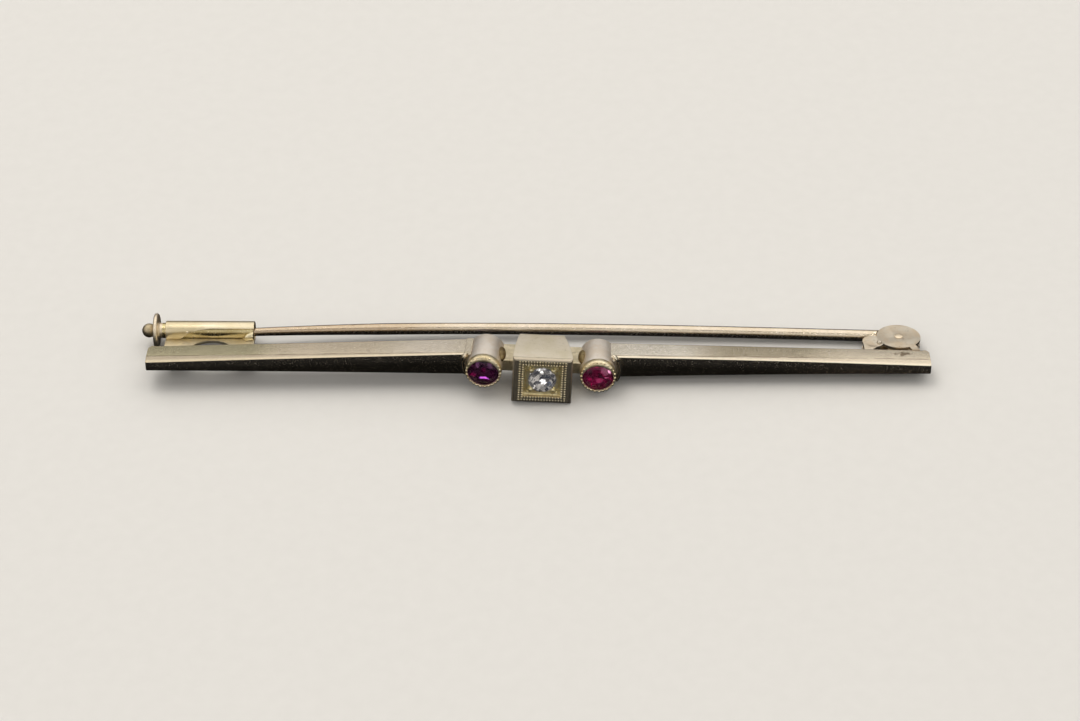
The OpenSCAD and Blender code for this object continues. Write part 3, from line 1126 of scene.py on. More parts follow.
BAR_GOLD = BarGold(
    "bar_gold",
    "white_gold",
    (0.82, 0.715, 0.545),
    (0.67, 0.60, 0.43),
    rough=0.21,
    brushed=0.45,
    cloud=0.16,
    tarnished=0.3,
    zones=(
        Zone(-31, -20, (0.46, 0.42, 0.27)),
        Zone(-20, -11, (0.80, 0.69, 0.54)),
        Zone(-11, -5, (0.92, 0.83, 0.72)),
        Zone(5, 13, (0.97, 0.91, 0.81)),
        Zone(13, 22, (0.48, 0.42, 0.31)),
        Zone(22, 31, (0.80, 0.71, 0.57)),
    ),
)
COLLET_GOLD = Gold(
    "collet_gold",
    "white_gold",
    (0.96, 0.89, 0.81),
    (0.90, 0.80, 0.68),
    rough=0.48,
    brushed=0.05,
    scratched=0.3,
    dents=0.3,
    cloud=0.9,
    tarnished=0.05,
)
BOX_GOLD = BoxGold(
    "box_gold",
    "white_gold",
    (0.97, 0.89, 0.75),
    (0.88, 0.80, 0.62),
    rough=0.48,
    brushed=0.05,
    scratched=0.7,
    pitted=0.8,
    dents=0.5,
)
LINK_GOLD = Gold(
    "link_gold",
    "white_gold",
    (0.83, 0.74, 0.56),
    (0.64, 0.56, 0.39),
    rough=0.44,
    brushed=0.1,
    pitted=0.7,
    tarnished=0.5,
    cloud=1.2,
    dents=1.0,
)
# Solder where the links meet the collets, its dark colour partly real solder and partly painted shade on
# the collet's side.
SOLDER_AND_SHADE = Gold(
    "solder",
    "yellow_gold",
    (0.33, 0.26, 0.13),
    (0.17, 0.12, 0.06),
    rough=0.5,
    brushed=0.0,
    tarnished=0.8,
    dents=1.4,
    cloud=2.2,
)
YELLOW_GOLD = Gold(
    "bead_gold", "yellow_gold", (0.97, 0.88, 0.64), (0.88, 0.76, 0.48), rough=0.28, brushed=0.0, dents=0.1
)
BEZEL_GOLD = Gold(
    "bezel_gold",
    "yellow_gold",
    (0.95, 0.84, 0.60),
    (0.74, 0.61, 0.37),
    rough=0.34,
    brushed=0.05,
    tarnished=0.5,
    dents=0.6,
    cloud=1.6,
)
PLATE_GOLD = Gold(
    "plate_gold",
    "yellow_gold",
    (1.0, 0.92, 0.62),
    (0.86, 0.74, 0.42),
    rough=0.5,
    brushed=0.1,
    tarnished=0.35,
    dents=2.2,
    cloud=1.8,
)
# The safety tube's gold, darker and olive: partly its own tone, partly painted shade for the tube lying
# inside the sheath.
TUBE_GOLD_SHADED = Gold(
    "tube_gold",
    "rose_gold",
    (0.84, 0.72, 0.42),
    (0.62, 0.51, 0.26),
    rough=0.26,
    brushed=0.2,
    tarnished=0.6,
    dents=0.8,
    cloud=0.8,
)
CATCH_GOLD = Gold(
    "catch_gold", "yellow_gold", (0.93, 0.82, 0.60), (0.85, 0.73, 0.48), rough=0.34, brushed=0.15, dents=0.3
)
BASE_GOLD = Gold(
    "base_gold", "yellow_gold", (0.92, 0.84, 0.66), (0.82, 0.73, 0.53), rough=0.5, brushed=0.1, cloud=0.9
)
ROSE_GOLD = Gold(
    "disc_gold",
    "rose_gold",
    (1.0, 0.89, 0.70),
    (0.93, 0.79, 0.60),
    rough=0.42,
    brushed=0.1,
    zones=(Zone(-33, -29.95, (0.52, 0.43, 0.27), 0.04),),
)
STEM_GOLD = Gold(
    "stem_gold",
    "rose_gold",
    (0.90, 0.79, 0.64),
    (0.81, 0.69, 0.52),
    rough=0.24,
    brushed=0.12,
    dents=0.3,
    cloud=0.2,
    zones=(Zone(-24, -9, (0.64, 0.50, 0.35), 3.0),),
)
HINGE_GOLD = Gold(
    "hinge_gold",
    "pale_gold",
    (0.70, 0.635, 0.53),
    (0.67, 0.56, 0.42),
    rough=0.34,
    brushed=0.1,
    cloud=0.7,
    tarnished=0.35,
)
RUBY_DARK = Gem("ruby_dark_clear", "ruby_dark", (0.82, 0.31, 0.66), 1.33, 0.1)
RUBY_PINK = Gem("ruby_pink_clear", "ruby_pink", (0.92, 0.32, 0.62), 1.33, 0.15)
DIAMOND = Gem("diamond_clear", "diamond", (1.0, 0.99, 0.98), 1.42)
# The stones' painted light: each back paints glints of light, dark patches of shade and a glowing sparkle.
RUBY_DARK_PAINTED_BACK = Foil(
    "ruby_dark_back",
    "ruby_dark",
    (0.026, 0.001, 0.018),
    (0.011, 0.001, 0.009),
    (0.004, 0.001, 0.004),
    glints=(
        Glint((-0.42, 0.42), (0.18, 0.4), (0.22, 0.30, 0.27)),
        Glint((0.5, 0.4), (0.15, 0.4), (0.16, 0.22, 0.19)),
        Glint((0.0, 0.35), (0.2, 0.6), (0.006, 0.001, 0.008)),
        Glint((-0.75, -0.42), (0.22, 0.1), (0.34, 0.01, 0.12)),
        Glint((0.02, -0.1), (0.16, 0.22), (0.10, 0.001, 0.05)),
        Glint((0.04, -0.72), (0.42, 0.11), (1.9, 1.2, 3.0)),
    ),
    rough=0.1,
    scatter=0.12,
    glow=0.38,
)
RUBY_PINK_PAINTED_BACK = Foil(
    "ruby_pink_back",
    "ruby_pink",
    (0.18, 0.004, 0.06),
    (0.08, 0.002, 0.028),
    (0.02, 0.001, 0.009),
    glints=(
        Glint((0.5, 0.3), (0.28, 0.42), (0.34, 0.34, 0.28)),
        Glint((0.1, -0.5), (0.34, 0.2), (0.44, 0.14, 0.22)),
        Glint((0.05, -0.02), (0.2, 0.2), (0.010, 0.001, 0.005)),
        Glint((-0.1, 0.62), (0.2, 0.16), (0.5, 0.08, 0.16)),
        Glint((-0.55, 0.1), (0.14, 0.34), (0.02, 0.001, 0.008)),
        Glint((-0.6, -0.45), (0.2, 0.16), (0.34, 0.02, 0.12)),
        Glint((0.78, 0.3), (0.14, 0.2), (2.2, 3.4, 2.4)),
        Glint((0.64, -0.26), (0.09, 0.07), (0.9, 0.9, 0.8)),
    ),
    rough=0.08,
    scatter=0.16,
    glow=0.42,
)
DIAMOND_PAINTED_BACK = Foil(
    "diamond_back",
    "diamond",
    (0.40, 0.385, 0.37),
    (0.13, 0.125, 0.125),
    (0.03, 0.032, 0.04),
    glints=(
        Glint((-0.2, 0.7), (0.2, 0.14), (1.5, 1.5, 1.5)),
        Glint((-0.04, 0.3), (0.18, 0.14), (1.7, 1.7, 1.7)),
        Glint((0.04, -0.3), (0.2, 0.16), (1.4, 1.4, 1.45)),
        Glint((-0.78, 0.05), (0.11, 0.1), (1.3, 1.25, 1.2)),
        Glint((0.5, 0.36), (0.12, 0.11), (1.4, 1.4, 1.4)),
        Glint((-0.62, -0.68), (0.11, 0.1), (1.2, 1.15, 1.1)),
        Glint((0.12, 0.02), (0.5, 0.1), (0.02, 0.025, 0.04)),
        Glint((0.45, -0.4), (0.2, 0.16), (0.08, 0.10, 0.16)),
        Glint((-0.46, 0.36), (0.16, 0.2), (0.05, 0.05, 0.06)),
        Glint((-0.36, -0.34), (0.16, 0.14), (0.06, 0.06, 0.07)),
    ),
    rough=0.05,
    facets=4.6,
    scatter=0.26,
    glow=0.6,
    dim=0.2,
)


@dataclass(frozen=True)
class Cluster:
    """The stones' cluster in the middle of the bar, which is a little rolled."""

    x: float = 0.24
    z: float = 0.18
    roll: float = 2.5
    depth: float = 2.4
    collet_x: Station = (4.22, 4.35)
    collet_turn: Station = (4.0, 0.0)
    proud: float = 1.15

    def matrix(self) -> Matrix:
        """From the cluster's axes, with Y from the middle of the bar's depth, to own axes."""
        turn = Matrix.Rotation(math.radians(self.roll), 4, "Y")
        return Matrix.Translation((self.x, self.depth / 2, self.z)) @ turn

    def collet(self, side: Side) -> Matrix:
        """From a collet's axes, +Z back from its rim, to own axes.

        Args:
            side: The collet's side.

        Returns:
            The matrix.
        """
        index = 0 if side is Side.LEFT else 1
        place = Matrix.Translation((side.value * self.collet_x[index], 0, 0))
        turn = Matrix.Rotation(math.radians(side.value * self.collet_turn[index]), 4, "Z")
        back = Matrix.Translation((0, -self.depth / 2 - self.proud, 0))
        return self.matrix() @ place @ turn @ back @ Matrix.Rotation(math.radians(-90), 4, "X")


@dataclass(frozen=True)
class Arm:
    """One tapering arm of the bar with the saddle that hugs its collet."""

    side: Side
    cluster: Cluster = Cluster()
    end_x: float = 30.0
    length: float = 25.78
    back_y: float = 2.4
    end_h: float = 0.8
    root_h: float = 1.83
    bevel_end: float = 0.8
    bevel_root: float = 0.25
    fall: float = 0.1
    corner: float = 0.5
    front_corner: float = 0.14
    strokes: int = 12
    saddle_r: float = 1.4
    saddle_h: float = 1.8
    saddle_cut: float = 0.8
    saddle_back: float = 2.2
    lip_t: float = 0.16
    lip_gap: float = 0.08
    lip_front: float = 0.94
    lip_deep: float = 0.1
    room: Station = (1.35, 4.45)
    drop_r: float = 0.18
    drop_shape: Spot = (1, 2.2, 1.3)
    drop_back: float = 0.04
    edge: float = 0.09
    back_edge: float = 0.16

    @property
    def rise(self) -> float:
        """Rise towards the middle, in degrees."""
        return 0.8 if self.side is Side.LEFT else 0.1

    @property
    def depth(self) -> float:
        """Depth from the arm's front face to the bar's back face."""
        return 2.3 if self.side is Side.LEFT else 2.15

    @property
    def drop_turn(self) -> float:
        """Where the drop of solder sits on the saddle's lip, in degrees above its middle."""
        return 22 if self.side is Side.LEFT else 42

    @property
    def hollow(self) -> float:
        """How far filing has hollowed the front face, at its middle."""
        return 0.06 if self.side is Side.LEFT else 0.12

    def build(self, bench: Bench) -> Piece:
        """Models the arm.

        Args:
            bench: The bench.

        Returns:
            The finished piece.
        """
        blank = self._blank(bench)
        mirror = Matrix.Scale(-self.side.value, 4, (1, 0, 0))
        lift = Matrix.Rotation(math.radians(-self.rise), 4, "Y")
        bench.put(blank, mirror @ Matrix.Translation((-self.end_x, 0, 0)) @ lift)
        bench.heal(blank)
        bench.fuse(blank, self._saddle(bench))
        bench.fuse(blank, self._drop(bench))
        bench.cut(blank, self._collet_room(bench))
        name = f"arm_{self.side.word}"
        return bench.finish(blank, f"{name}_gold", BAR_GOLD, Body.BROOCH, [name])

    def _blank(self, bench: Bench) -> Piece:
        """The bare arm, its outer end at the origin and its root towards +X.

        Args:
            bench: The bench.

        Returns:
            The arm.
        """
        front_y, middle = self.back_y - self.depth, self.back_y / 2
        blank = bench.block((0, front_y, -self.end_h / 2), (self.length, self.back_y, self.end_h / 2))
        taper = (1, 1, self.root_h / self.end_h)
        with bench.edit(blank):
            bench.pick(blank, "faces", lambda f: f.normal.x > FACING)
            bpy.ops.transform.resize(value=taper, center_override=(self.length, middle, 0))
            bench.pick(blank, "edges", lambda e: all(v.co.x < NEAR and v.co.y > middle for v in e.verts))
            bpy.ops.mesh.bevel(offset=self.corner, segments=10, affect="EDGES")
            bench.pick(blank, "edges", lambda e: all(v.co.x < NEAR and v.co.y < middle for v in e.verts))
            bpy.ops.mesh.bevel(offset=self.front_corner, segments=5, affect="EDGES")
        outer = Vector((0, front_y + self.bevel_end, self.end_h / 2))
        root = Vector((self.length, front_y + self.bevel_root, self.root_h / 2))
        front = Vector((0, front_y, self.end_h / 2 - self.fall))
        bench.slice(blank, outer, (root - outer).cross(outer - front).normalized())
        self._file_front(bench, blank, front_y)
        return bench.ease(blank, self.edge, segments=4, angle=25)

    def _file_front(self, bench: Bench, blank: Piece, front_y: float) -> None:
        """Hollows the front face a little along its length, as filing by hand has done.

        Args:
            bench: The bench.
            blank: The arm.
            front_y: Where its front face is.
        """
        stations = [self.length * i / self.strokes for i in range(1, self.strokes)]
        for x in stations:
            bench.slice(blank, (x, 0, 0), (1, 0, 0), cut=False)
        with bench.edit(blank):
            for x in stations:
                bench.pick(
                    blank, "verts", lambda v, x=x: abs(v.co.x - x) < NEAR and v.co.y < front_y + NEAR
                )
                deep = self.hollow * math.sin(math.pi * x / self.length)
                bpy.ops.transform.translate(value=(0, deep, 0))
            bench.pick(
                blank, "edges", lambda e: all(v.co.y > self.back_y - NEAR and v.co.z > 0 for v in e.verts)
            )
            bpy.ops.mesh.bevel(offset=self.back_edge, segments=6, affect="EDGES")

    def _saddle(self, bench: Bench) -> Piece:
        """The curved double lip at the arm's root, which hugs the collet.

        Args:
            bench: The bench.

        Returns:
            The lips.
        """
        sign = self.side.value
        half = self.lip_t / 2
        inner = self.saddle_r + half
        outer = inner + self.lip_t + self.lip_gap
        front = self.lip_front + half
        back = self.cluster.proud + self.saddle_back
        profile = [
            (self.saddle_r, back),
            *arc((inner, front), half, 180, 360, 8),
            (inner + half, front + self.lip_deep),
            (outer - half, front + self.lip_deep),
            *arc((outer, front), half, 180, 360, 8),
            (outer + half, back),
            (self.saddle_r, back),
        ]
        lips = bench.turned(profile, sides=128)
        bench.slice(lips, (sign * self.saddle_cut, 0, 0), (-sign, 0, 0))
        bench.slice(lips, (0, self.saddle_h / 2, 0), (0, 1, 0))
        bench.slice(lips, (0, -self.saddle_h / 2, 0), (0, -1, 0))
        return bench.put(lips, self.cluster.collet(self.side))

    def _drop(self, bench: Bench) -> Piece:
        """A bright drop of solder on the saddle's outer lip, drawn out along it.

        Args:
            bench: The bench.

        Returns:
            The drop.
        """
        sign = self.side.value
        turn = math.radians(self.drop_turn)
        radius = self.saddle_r + 1.5 * self.lip_t + self.lip_gap
        back = self.lip_front + self.drop_back
        spot = (sign * radius * math.cos(turn), -radius * math.sin(turn), back)
        shape = Matrix.Rotation(-sign * turn, 4, "Z") @ Matrix.Diagonal((*self.drop_shape, 1))
        drop = bench.put(bench.bead(self.drop_r, (0, 0, 0), 3), Matrix.Translation(spot) @ shape)
        return bench.put(drop, self.cluster.collet(self.side))

    def _collet_room(self, bench: Bench) -> Piece:
        """The collet's own shape, a hair wider, to be cut out.

        Args:
            bench: The bench.

        Returns:
            The cutting tool.
        """
        radius, reach = self.room
        tool = bench.turned([(radius, -1), (radius, reach)], ROUND, Cap.FLAT, Cap.FLAT)
        return bench.put(tool, self.cluster.collet(self.side))


@dataclass(frozen=True)
class Collet:
    """A tube setting with its rolled bezel, a row of milgrain and its ruby."""

    side: Side
    cluster: Cluster = Cluster()
    front_r: float = 1.37
    neck_r: float = 1.355
    back_r: float = 1.37
    length: float = 3.45
    lip_r: float = 1.2
    seat_r: float = 1.255
    hole_r: float = 0.92
    beads: int = 26
    bead_r: float = 0.115
    stone_r: float = 1.235
    stone_proud: float = 0.02
    rub_r: float = 1.22
    rub_drop: float = 0.2
    rub_z: float = 0.2
    rub_flat: float = 0.8
    tube_z: float = 0.45
    tube_edge: float = 0.1
    seat_z: float = 0.66
    hole_z: float = 0.95
    rounding: float = 0.08
    roll_in: float = 0.08
    roll_back: Station = (0.05, 0.1)
    band_z: Spot = (0.5, 0.52, 0.54)
    thin: float = 0.02
    bead_wander: float = 0.12
    bead_sizes: Station = (0.8, 1.12)
    bead_rubbed: float = 0.4
    bead_shape: Station = (0.9, 1.05)
    bead_in: float = 0.01
    bead_z: float = 0.05

    def build(self, bench: Bench) -> None:
        """Models the collet, its milgrain and its stone.

        Args:
            bench: The bench.
        """
        place = self.cluster.collet(self.side)
        word = self.side.word
        tube = bench.put(self._tube(bench), place)
        bench.finish(tube, f"collet_{word}", COLLET_GOLD, Body.BROOCH, [f"ruby_collet_{word}"])
        bezel = bench.put(self._bezel(bench), place)
        bench.finish(bezel, f"bezel_{word}", BEZEL_GOLD, Body.BROOCH)
        milgrain = bench.put(self._milgrain(bench), place)
        bench.finish(milgrain, f"milgrain_{word}", YELLOW_GOLD, Body.BROOCH)
        left = self.side is Side.LEFT
        seed, wander = (3, 1.5) if left else (8, 3.5)
        cut = StoneCut(self.stone_r, table=0.56, crown=0.3, pavilion=0.4, seed=seed, wander=wander)
        seat = place @ Matrix.Translation((0, 0, -self.stone_proud))
        crown = bench.put(cut.crown_piece(bench), seat)
        gem, painted_back = (RUBY_DARK, RUBY_DARK_PAINTED_BACK) if left else (RUBY_PINK, RUBY_PINK_PAINTED_BACK)
        bench.finish(crown, f"ruby_{word}_crown", gem, Body.BROOCH, [f"ruby_{word}"], smooth=1)
        # The back facets carry the stone's painted light: painted glints, painted shade and a painted glow.
        back = bench.put(cut.back_piece(bench), seat)
        painted_back = replace(painted_back, centre=(seat.translation.x, seat.translation.z))
        bench.finish(back, f"ruby_{word}_back", painted_back, Body.BROOCH, smooth=1)

    def _tube(self, bench: Bench) -> Piece:
        """The tube behind the bezel, with its seat and its light hole.

        Args:
            bench: The bench.

        Returns:
            The tube.
        """
        ease, end = self.rounding, self.length - self.rounding
        profile = [
            (self.hole_r, self.hole_z),
            (self.hole_r, end),
            *arc((self.hole_r + ease, end), ease, 180, 90, 3),
            *arc((self.back_r - ease, end), ease, 90, 0, 3),
            (self.neck_r, self.tube_z + self.tube_edge),
            (self.neck_r, self.tube_z),
            (self.seat_r, self.tube_z),
            (self.seat_r, self.seat_z),
            (self.hole_r, self.hole_z),
        ]
        return bench.turned(profile)

    def _bezel(self, bench: Bench) -> Piece:
        """The yellow bezel band with its rolled lip and its shoulder.

        Args:
            bench: The bench.

        Returns:
            The bezel.
        """
        roll = (self.front_r - self.lip_r) / 2
        front = roll + self.roll_in
        shoulder, inside, back = self.band_z
        profile = [
            (self.seat_r, inside),
            (self.front_r - self.thin, back),
            (self.front_r, shoulder),
            *arc((self.lip_r + roll, front), roll, 0, -180, 10),
            (self.lip_r, front + self.roll_back[0]),
            (self.seat_r, front + self.roll_back[1]),
            (self.seat_r, inside),
        ]
        return bench.join(bench.turned(profile), self._rub(bench))

    def _rub(self, bench: Bench) -> Piece:
        """The rounded shoulder of metal rubbed over the upper half of the stone's edge.

        Args:
            bench: The bench.

        Returns:
            The shoulder.
        """
        inner = self.rub_r - self.rub_drop + self.thin
        shoulder = arc((inner, 0), self.front_r - inner, 0, -90, 10)
        rub = bench.turned(shoulder, ROUND, Cap.FLAT, Cap.FLAT)
        flat = Matrix.Diagonal((1, 1, self.rub_flat, 1))
        bench.put(rub, Matrix.Translation((0, 0, self.rub_z)) @ flat)
        hole = bench.put(bench.rod(self.rub_r, -1, 1), Matrix.Translation((0, self.rub_drop, 0)))
        return bench.ease(bench.cut(rub, hole), self.thin, 2, CREASE)

    def _milgrain(self, bench: Bench) -> Piece:
        """The row of beads along the bezel's lip.

        Args:
            bench: The bench.

        Returns:
            The row.
        """
        rng = random.Random(2)
        middle = (self.front_r + self.lip_r) / 2
        rows = []
        for i in range(self.beads):
            turn = math.tau * (i + rng.uniform(-self.bead_wander, self.bead_wander)) / self.beads
            size = rng.uniform(*self.bead_sizes) * (1 - self.bead_rubbed * max(0.0, -math.sin(turn)))
            bead = Matrix.Diagonal((self.bead_shape[0] * size, self.bead_shape[1] * size, size, 1))
            out = Matrix.Translation((middle - self.bead_in, 0, self.bead_z))
            rows.append(Matrix.Rotation(turn, 4, "Z") @ out @ bead)
        return bench.repeat(bench.bead(self.bead_r, (0, 0, 0), 3), rows)


@dataclass(frozen=True)
class StoneCut:
    """A round stone cut facet by facet with planes, its table at the origin, its back towards +Z.

    The clear crown and the back facets, which carry painted glints and a painted glow, are two pieces with
    a hair between them.
    """

    radius: float
    table: float
    crown: float
    pavilion: float
    seed: int
    wander: float = 2.0
    folds: int = 8
    sides: int = 64
    star_lean: float = 0.6
    star_out: float = 1.05
    half_lean: float = 9
    cup: float = 0.995
    culet: float = 0.9
    inner: Station = (0.42, 0.62)
    inner_lean: float = -14
    lower_lean: float = 7
    foil_t: float = 0.02
    hair: float = 0.004
    chips: int = 1
    chip: float = 0.015

    def crown_piece(self, bench: Bench) -> Piece:
        """Cuts the clear crown with its table, mains, stars and halves.

        Args:
            bench: The bench.

        Returns:
            The crown.
        """
        rng = random.Random(self.seed)
        crown = bench.rod(self.radius, 0, self.crown + self.hair, self.sides)
        table_r = self.radius * self.table
        slope = math.degrees(math.atan2(self.crown, self.radius - table_r))
        step = 360 / self.folds
        rim, star = (self.radius, self.crown), (table_r * self.star_out, 0)
        for i in range(self.folds):
            self._facet(bench, crown, rng, i * step, slope, rim, -1)
            self._facet(bench, crown, rng, (i + 0.5) * step, slope * self.star_lean, star, -1)
            for turn in (i * step + step / 4, i * step - step / 4):
                self._facet(bench, crown, rng, turn, slope + self.half_lean, rim, -1)
        return crown

    def back_piece(self, bench: Bench) -> Piece:
        """Cuts the back facets in two tiers and leaves them as a thin open cup.

        Args:
            bench: The bench.

        Returns:
            The cup.
        """
        rng = random.Random(self.seed + 1)
        low = self.crown + 2 * self.hair
        cup = bench.rod(self.radius * self.cup, low, low + self.pavilion, self.sides)
        slope = math.degrees(math.atan2(self.pavilion, self.radius * self.culet))
        step = 360 / self.folds
        rim = (self.radius, low)
        inner = (self.radius * self.inner[0], low + self.pavilion * self.inner[1])
        for i in range(self.folds):
            self._facet(bench, cup, rng, i * step, slope, rim, 1)
            self._facet(bench, cup, rng, (i + 0.5) * step, slope + self.inner_lean, inner, 1)
            for turn in (i * step + step / 4, i * step - step / 4):
                self._facet(bench, cup, rng, turn, slope + self.lower_lean, rim, 1)
        with bench.edit(cup):
            bench.pick(cup, "faces", lambda f: f.normal.z < -FACING)
            bpy.ops.mesh.delete(type="FACE")
            bpy.ops.mesh.select_all(action="SELECT")
            bpy.ops.mesh.quads_convert_to_tris()
            bpy.ops.mesh.subdivide(number_cuts=self.chips)
            bpy.ops.transform.vertex_random(offset=self.chip, uniform=1, seed=self.seed)
        return bench.thicken(cup, self.foil_t)

    def _facet(
        self,
        bench: Bench,
        stone: Piece,
        rng: random.Random,
        turn: float,
        slope: float,
        point: Station,
        face: int,
    ) -> None:
        """Cuts one facet.

        Args:
            bench: The bench.
            stone: The stone.
            rng: Source of the small wander of an old hand cut.
            turn: Direction of the facet, in degrees.
            slope: Its slope from the table's plane, in degrees.
            point: Distance from the axis and height of a point of the facet.
            face: -1 on the crown, 1 on the back.
        """
        around = math.radians(turn + rng.uniform(-self.wander, self.wander))
        tilt = math.radians(slope + rng.uniform(-self.wander, self.wander))
        out = Vector((math.cos(around), math.sin(around), 0))
        normal = out * math.sin(tilt) + Vector((0, 0, face * math.cos(tilt)))
        bench.slice(stone, out * point[0] + Vector((0, 0, point[1])), normal)


@dataclass(frozen=True)
class Graver:
    """The graver's cuts in the plate: wedges from its corners and slopes along its sides."""

    wedge_x: Station = (1.1, 1.95)
    wedge_half: float = 0.13
    wedge_high: float = 0.3
    wedge_deep: float = 0.16
    keel: float = 0.05
    lean: float = 17
    twist: float = 1.2
    pivot: float = 1.9
    slope_w: float = 0.24
    slope_past: float = 0.1
    slope_high: float = 0.4
    slope_deep: float = 0.11

    def wedge(self, bench: Bench, face: float, turn: float, lean: float) -> Piece:
        """A wedge from a corner of the plate towards the stone, to be cut out.

        Args:
            bench: The bench.
            face: Where the plate's face is along Y.
            turn: Direction of the wedge, in degrees.
            lean: How far it leans from the diagonal, in degrees.

        Returns:
            The wedge.
        """
        (start, end), half = self.wedge_x, self.wedge_half
        wedge = bench.block((start, face - self.wedge_high, -half), (end, face, half))
        with bench.edit(wedge):
            bench.pick(wedge, "verts", lambda v: v.co.y > face - NEAR)
            bpy.ops.transform.translate(value=(0, self.wedge_deep, 0))
            bpy.ops.transform.resize(value=(1, 1, self.keel), center_override=(0, face, 0))
        tilt = Matrix.Rotation(math.radians(lean * self.twist), 4, "Y")
        to_pivot = Matrix.Translation((self.pivot, 0, 0))
        around = to_pivot @ tilt @ to_pivot.inverted()
        return bench.put(wedge, Matrix.Rotation(math.radians(turn), 4, "Y") @ around)

    def slope(self, bench: Bench, face: float, side: float, turn: float) -> Piece:
        """A long shallow slope along one side of the plate, up to the milgrain, to be cut out.

        Args:
            bench: The bench.
            face: Where the plate's face is along Y.
            side: Half the plate's width.
            turn: Direction of the side, in degrees.

        Returns:
            The slope.
        """
        low = (side - self.slope_w, face - self.slope_high, -side)
        slope = bench.block(low, (side + self.slope_past, face, side))
        with bench.edit(slope):
            bench.pick(slope, "verts", lambda v: v.co.y > face - NEAR and v.co.x < side)
            bpy.ops.transform.translate(value=(0, self.slope_deep, 0))
        return bench.put(slope, Matrix.Rotation(math.radians(turn), 4, "Y"))


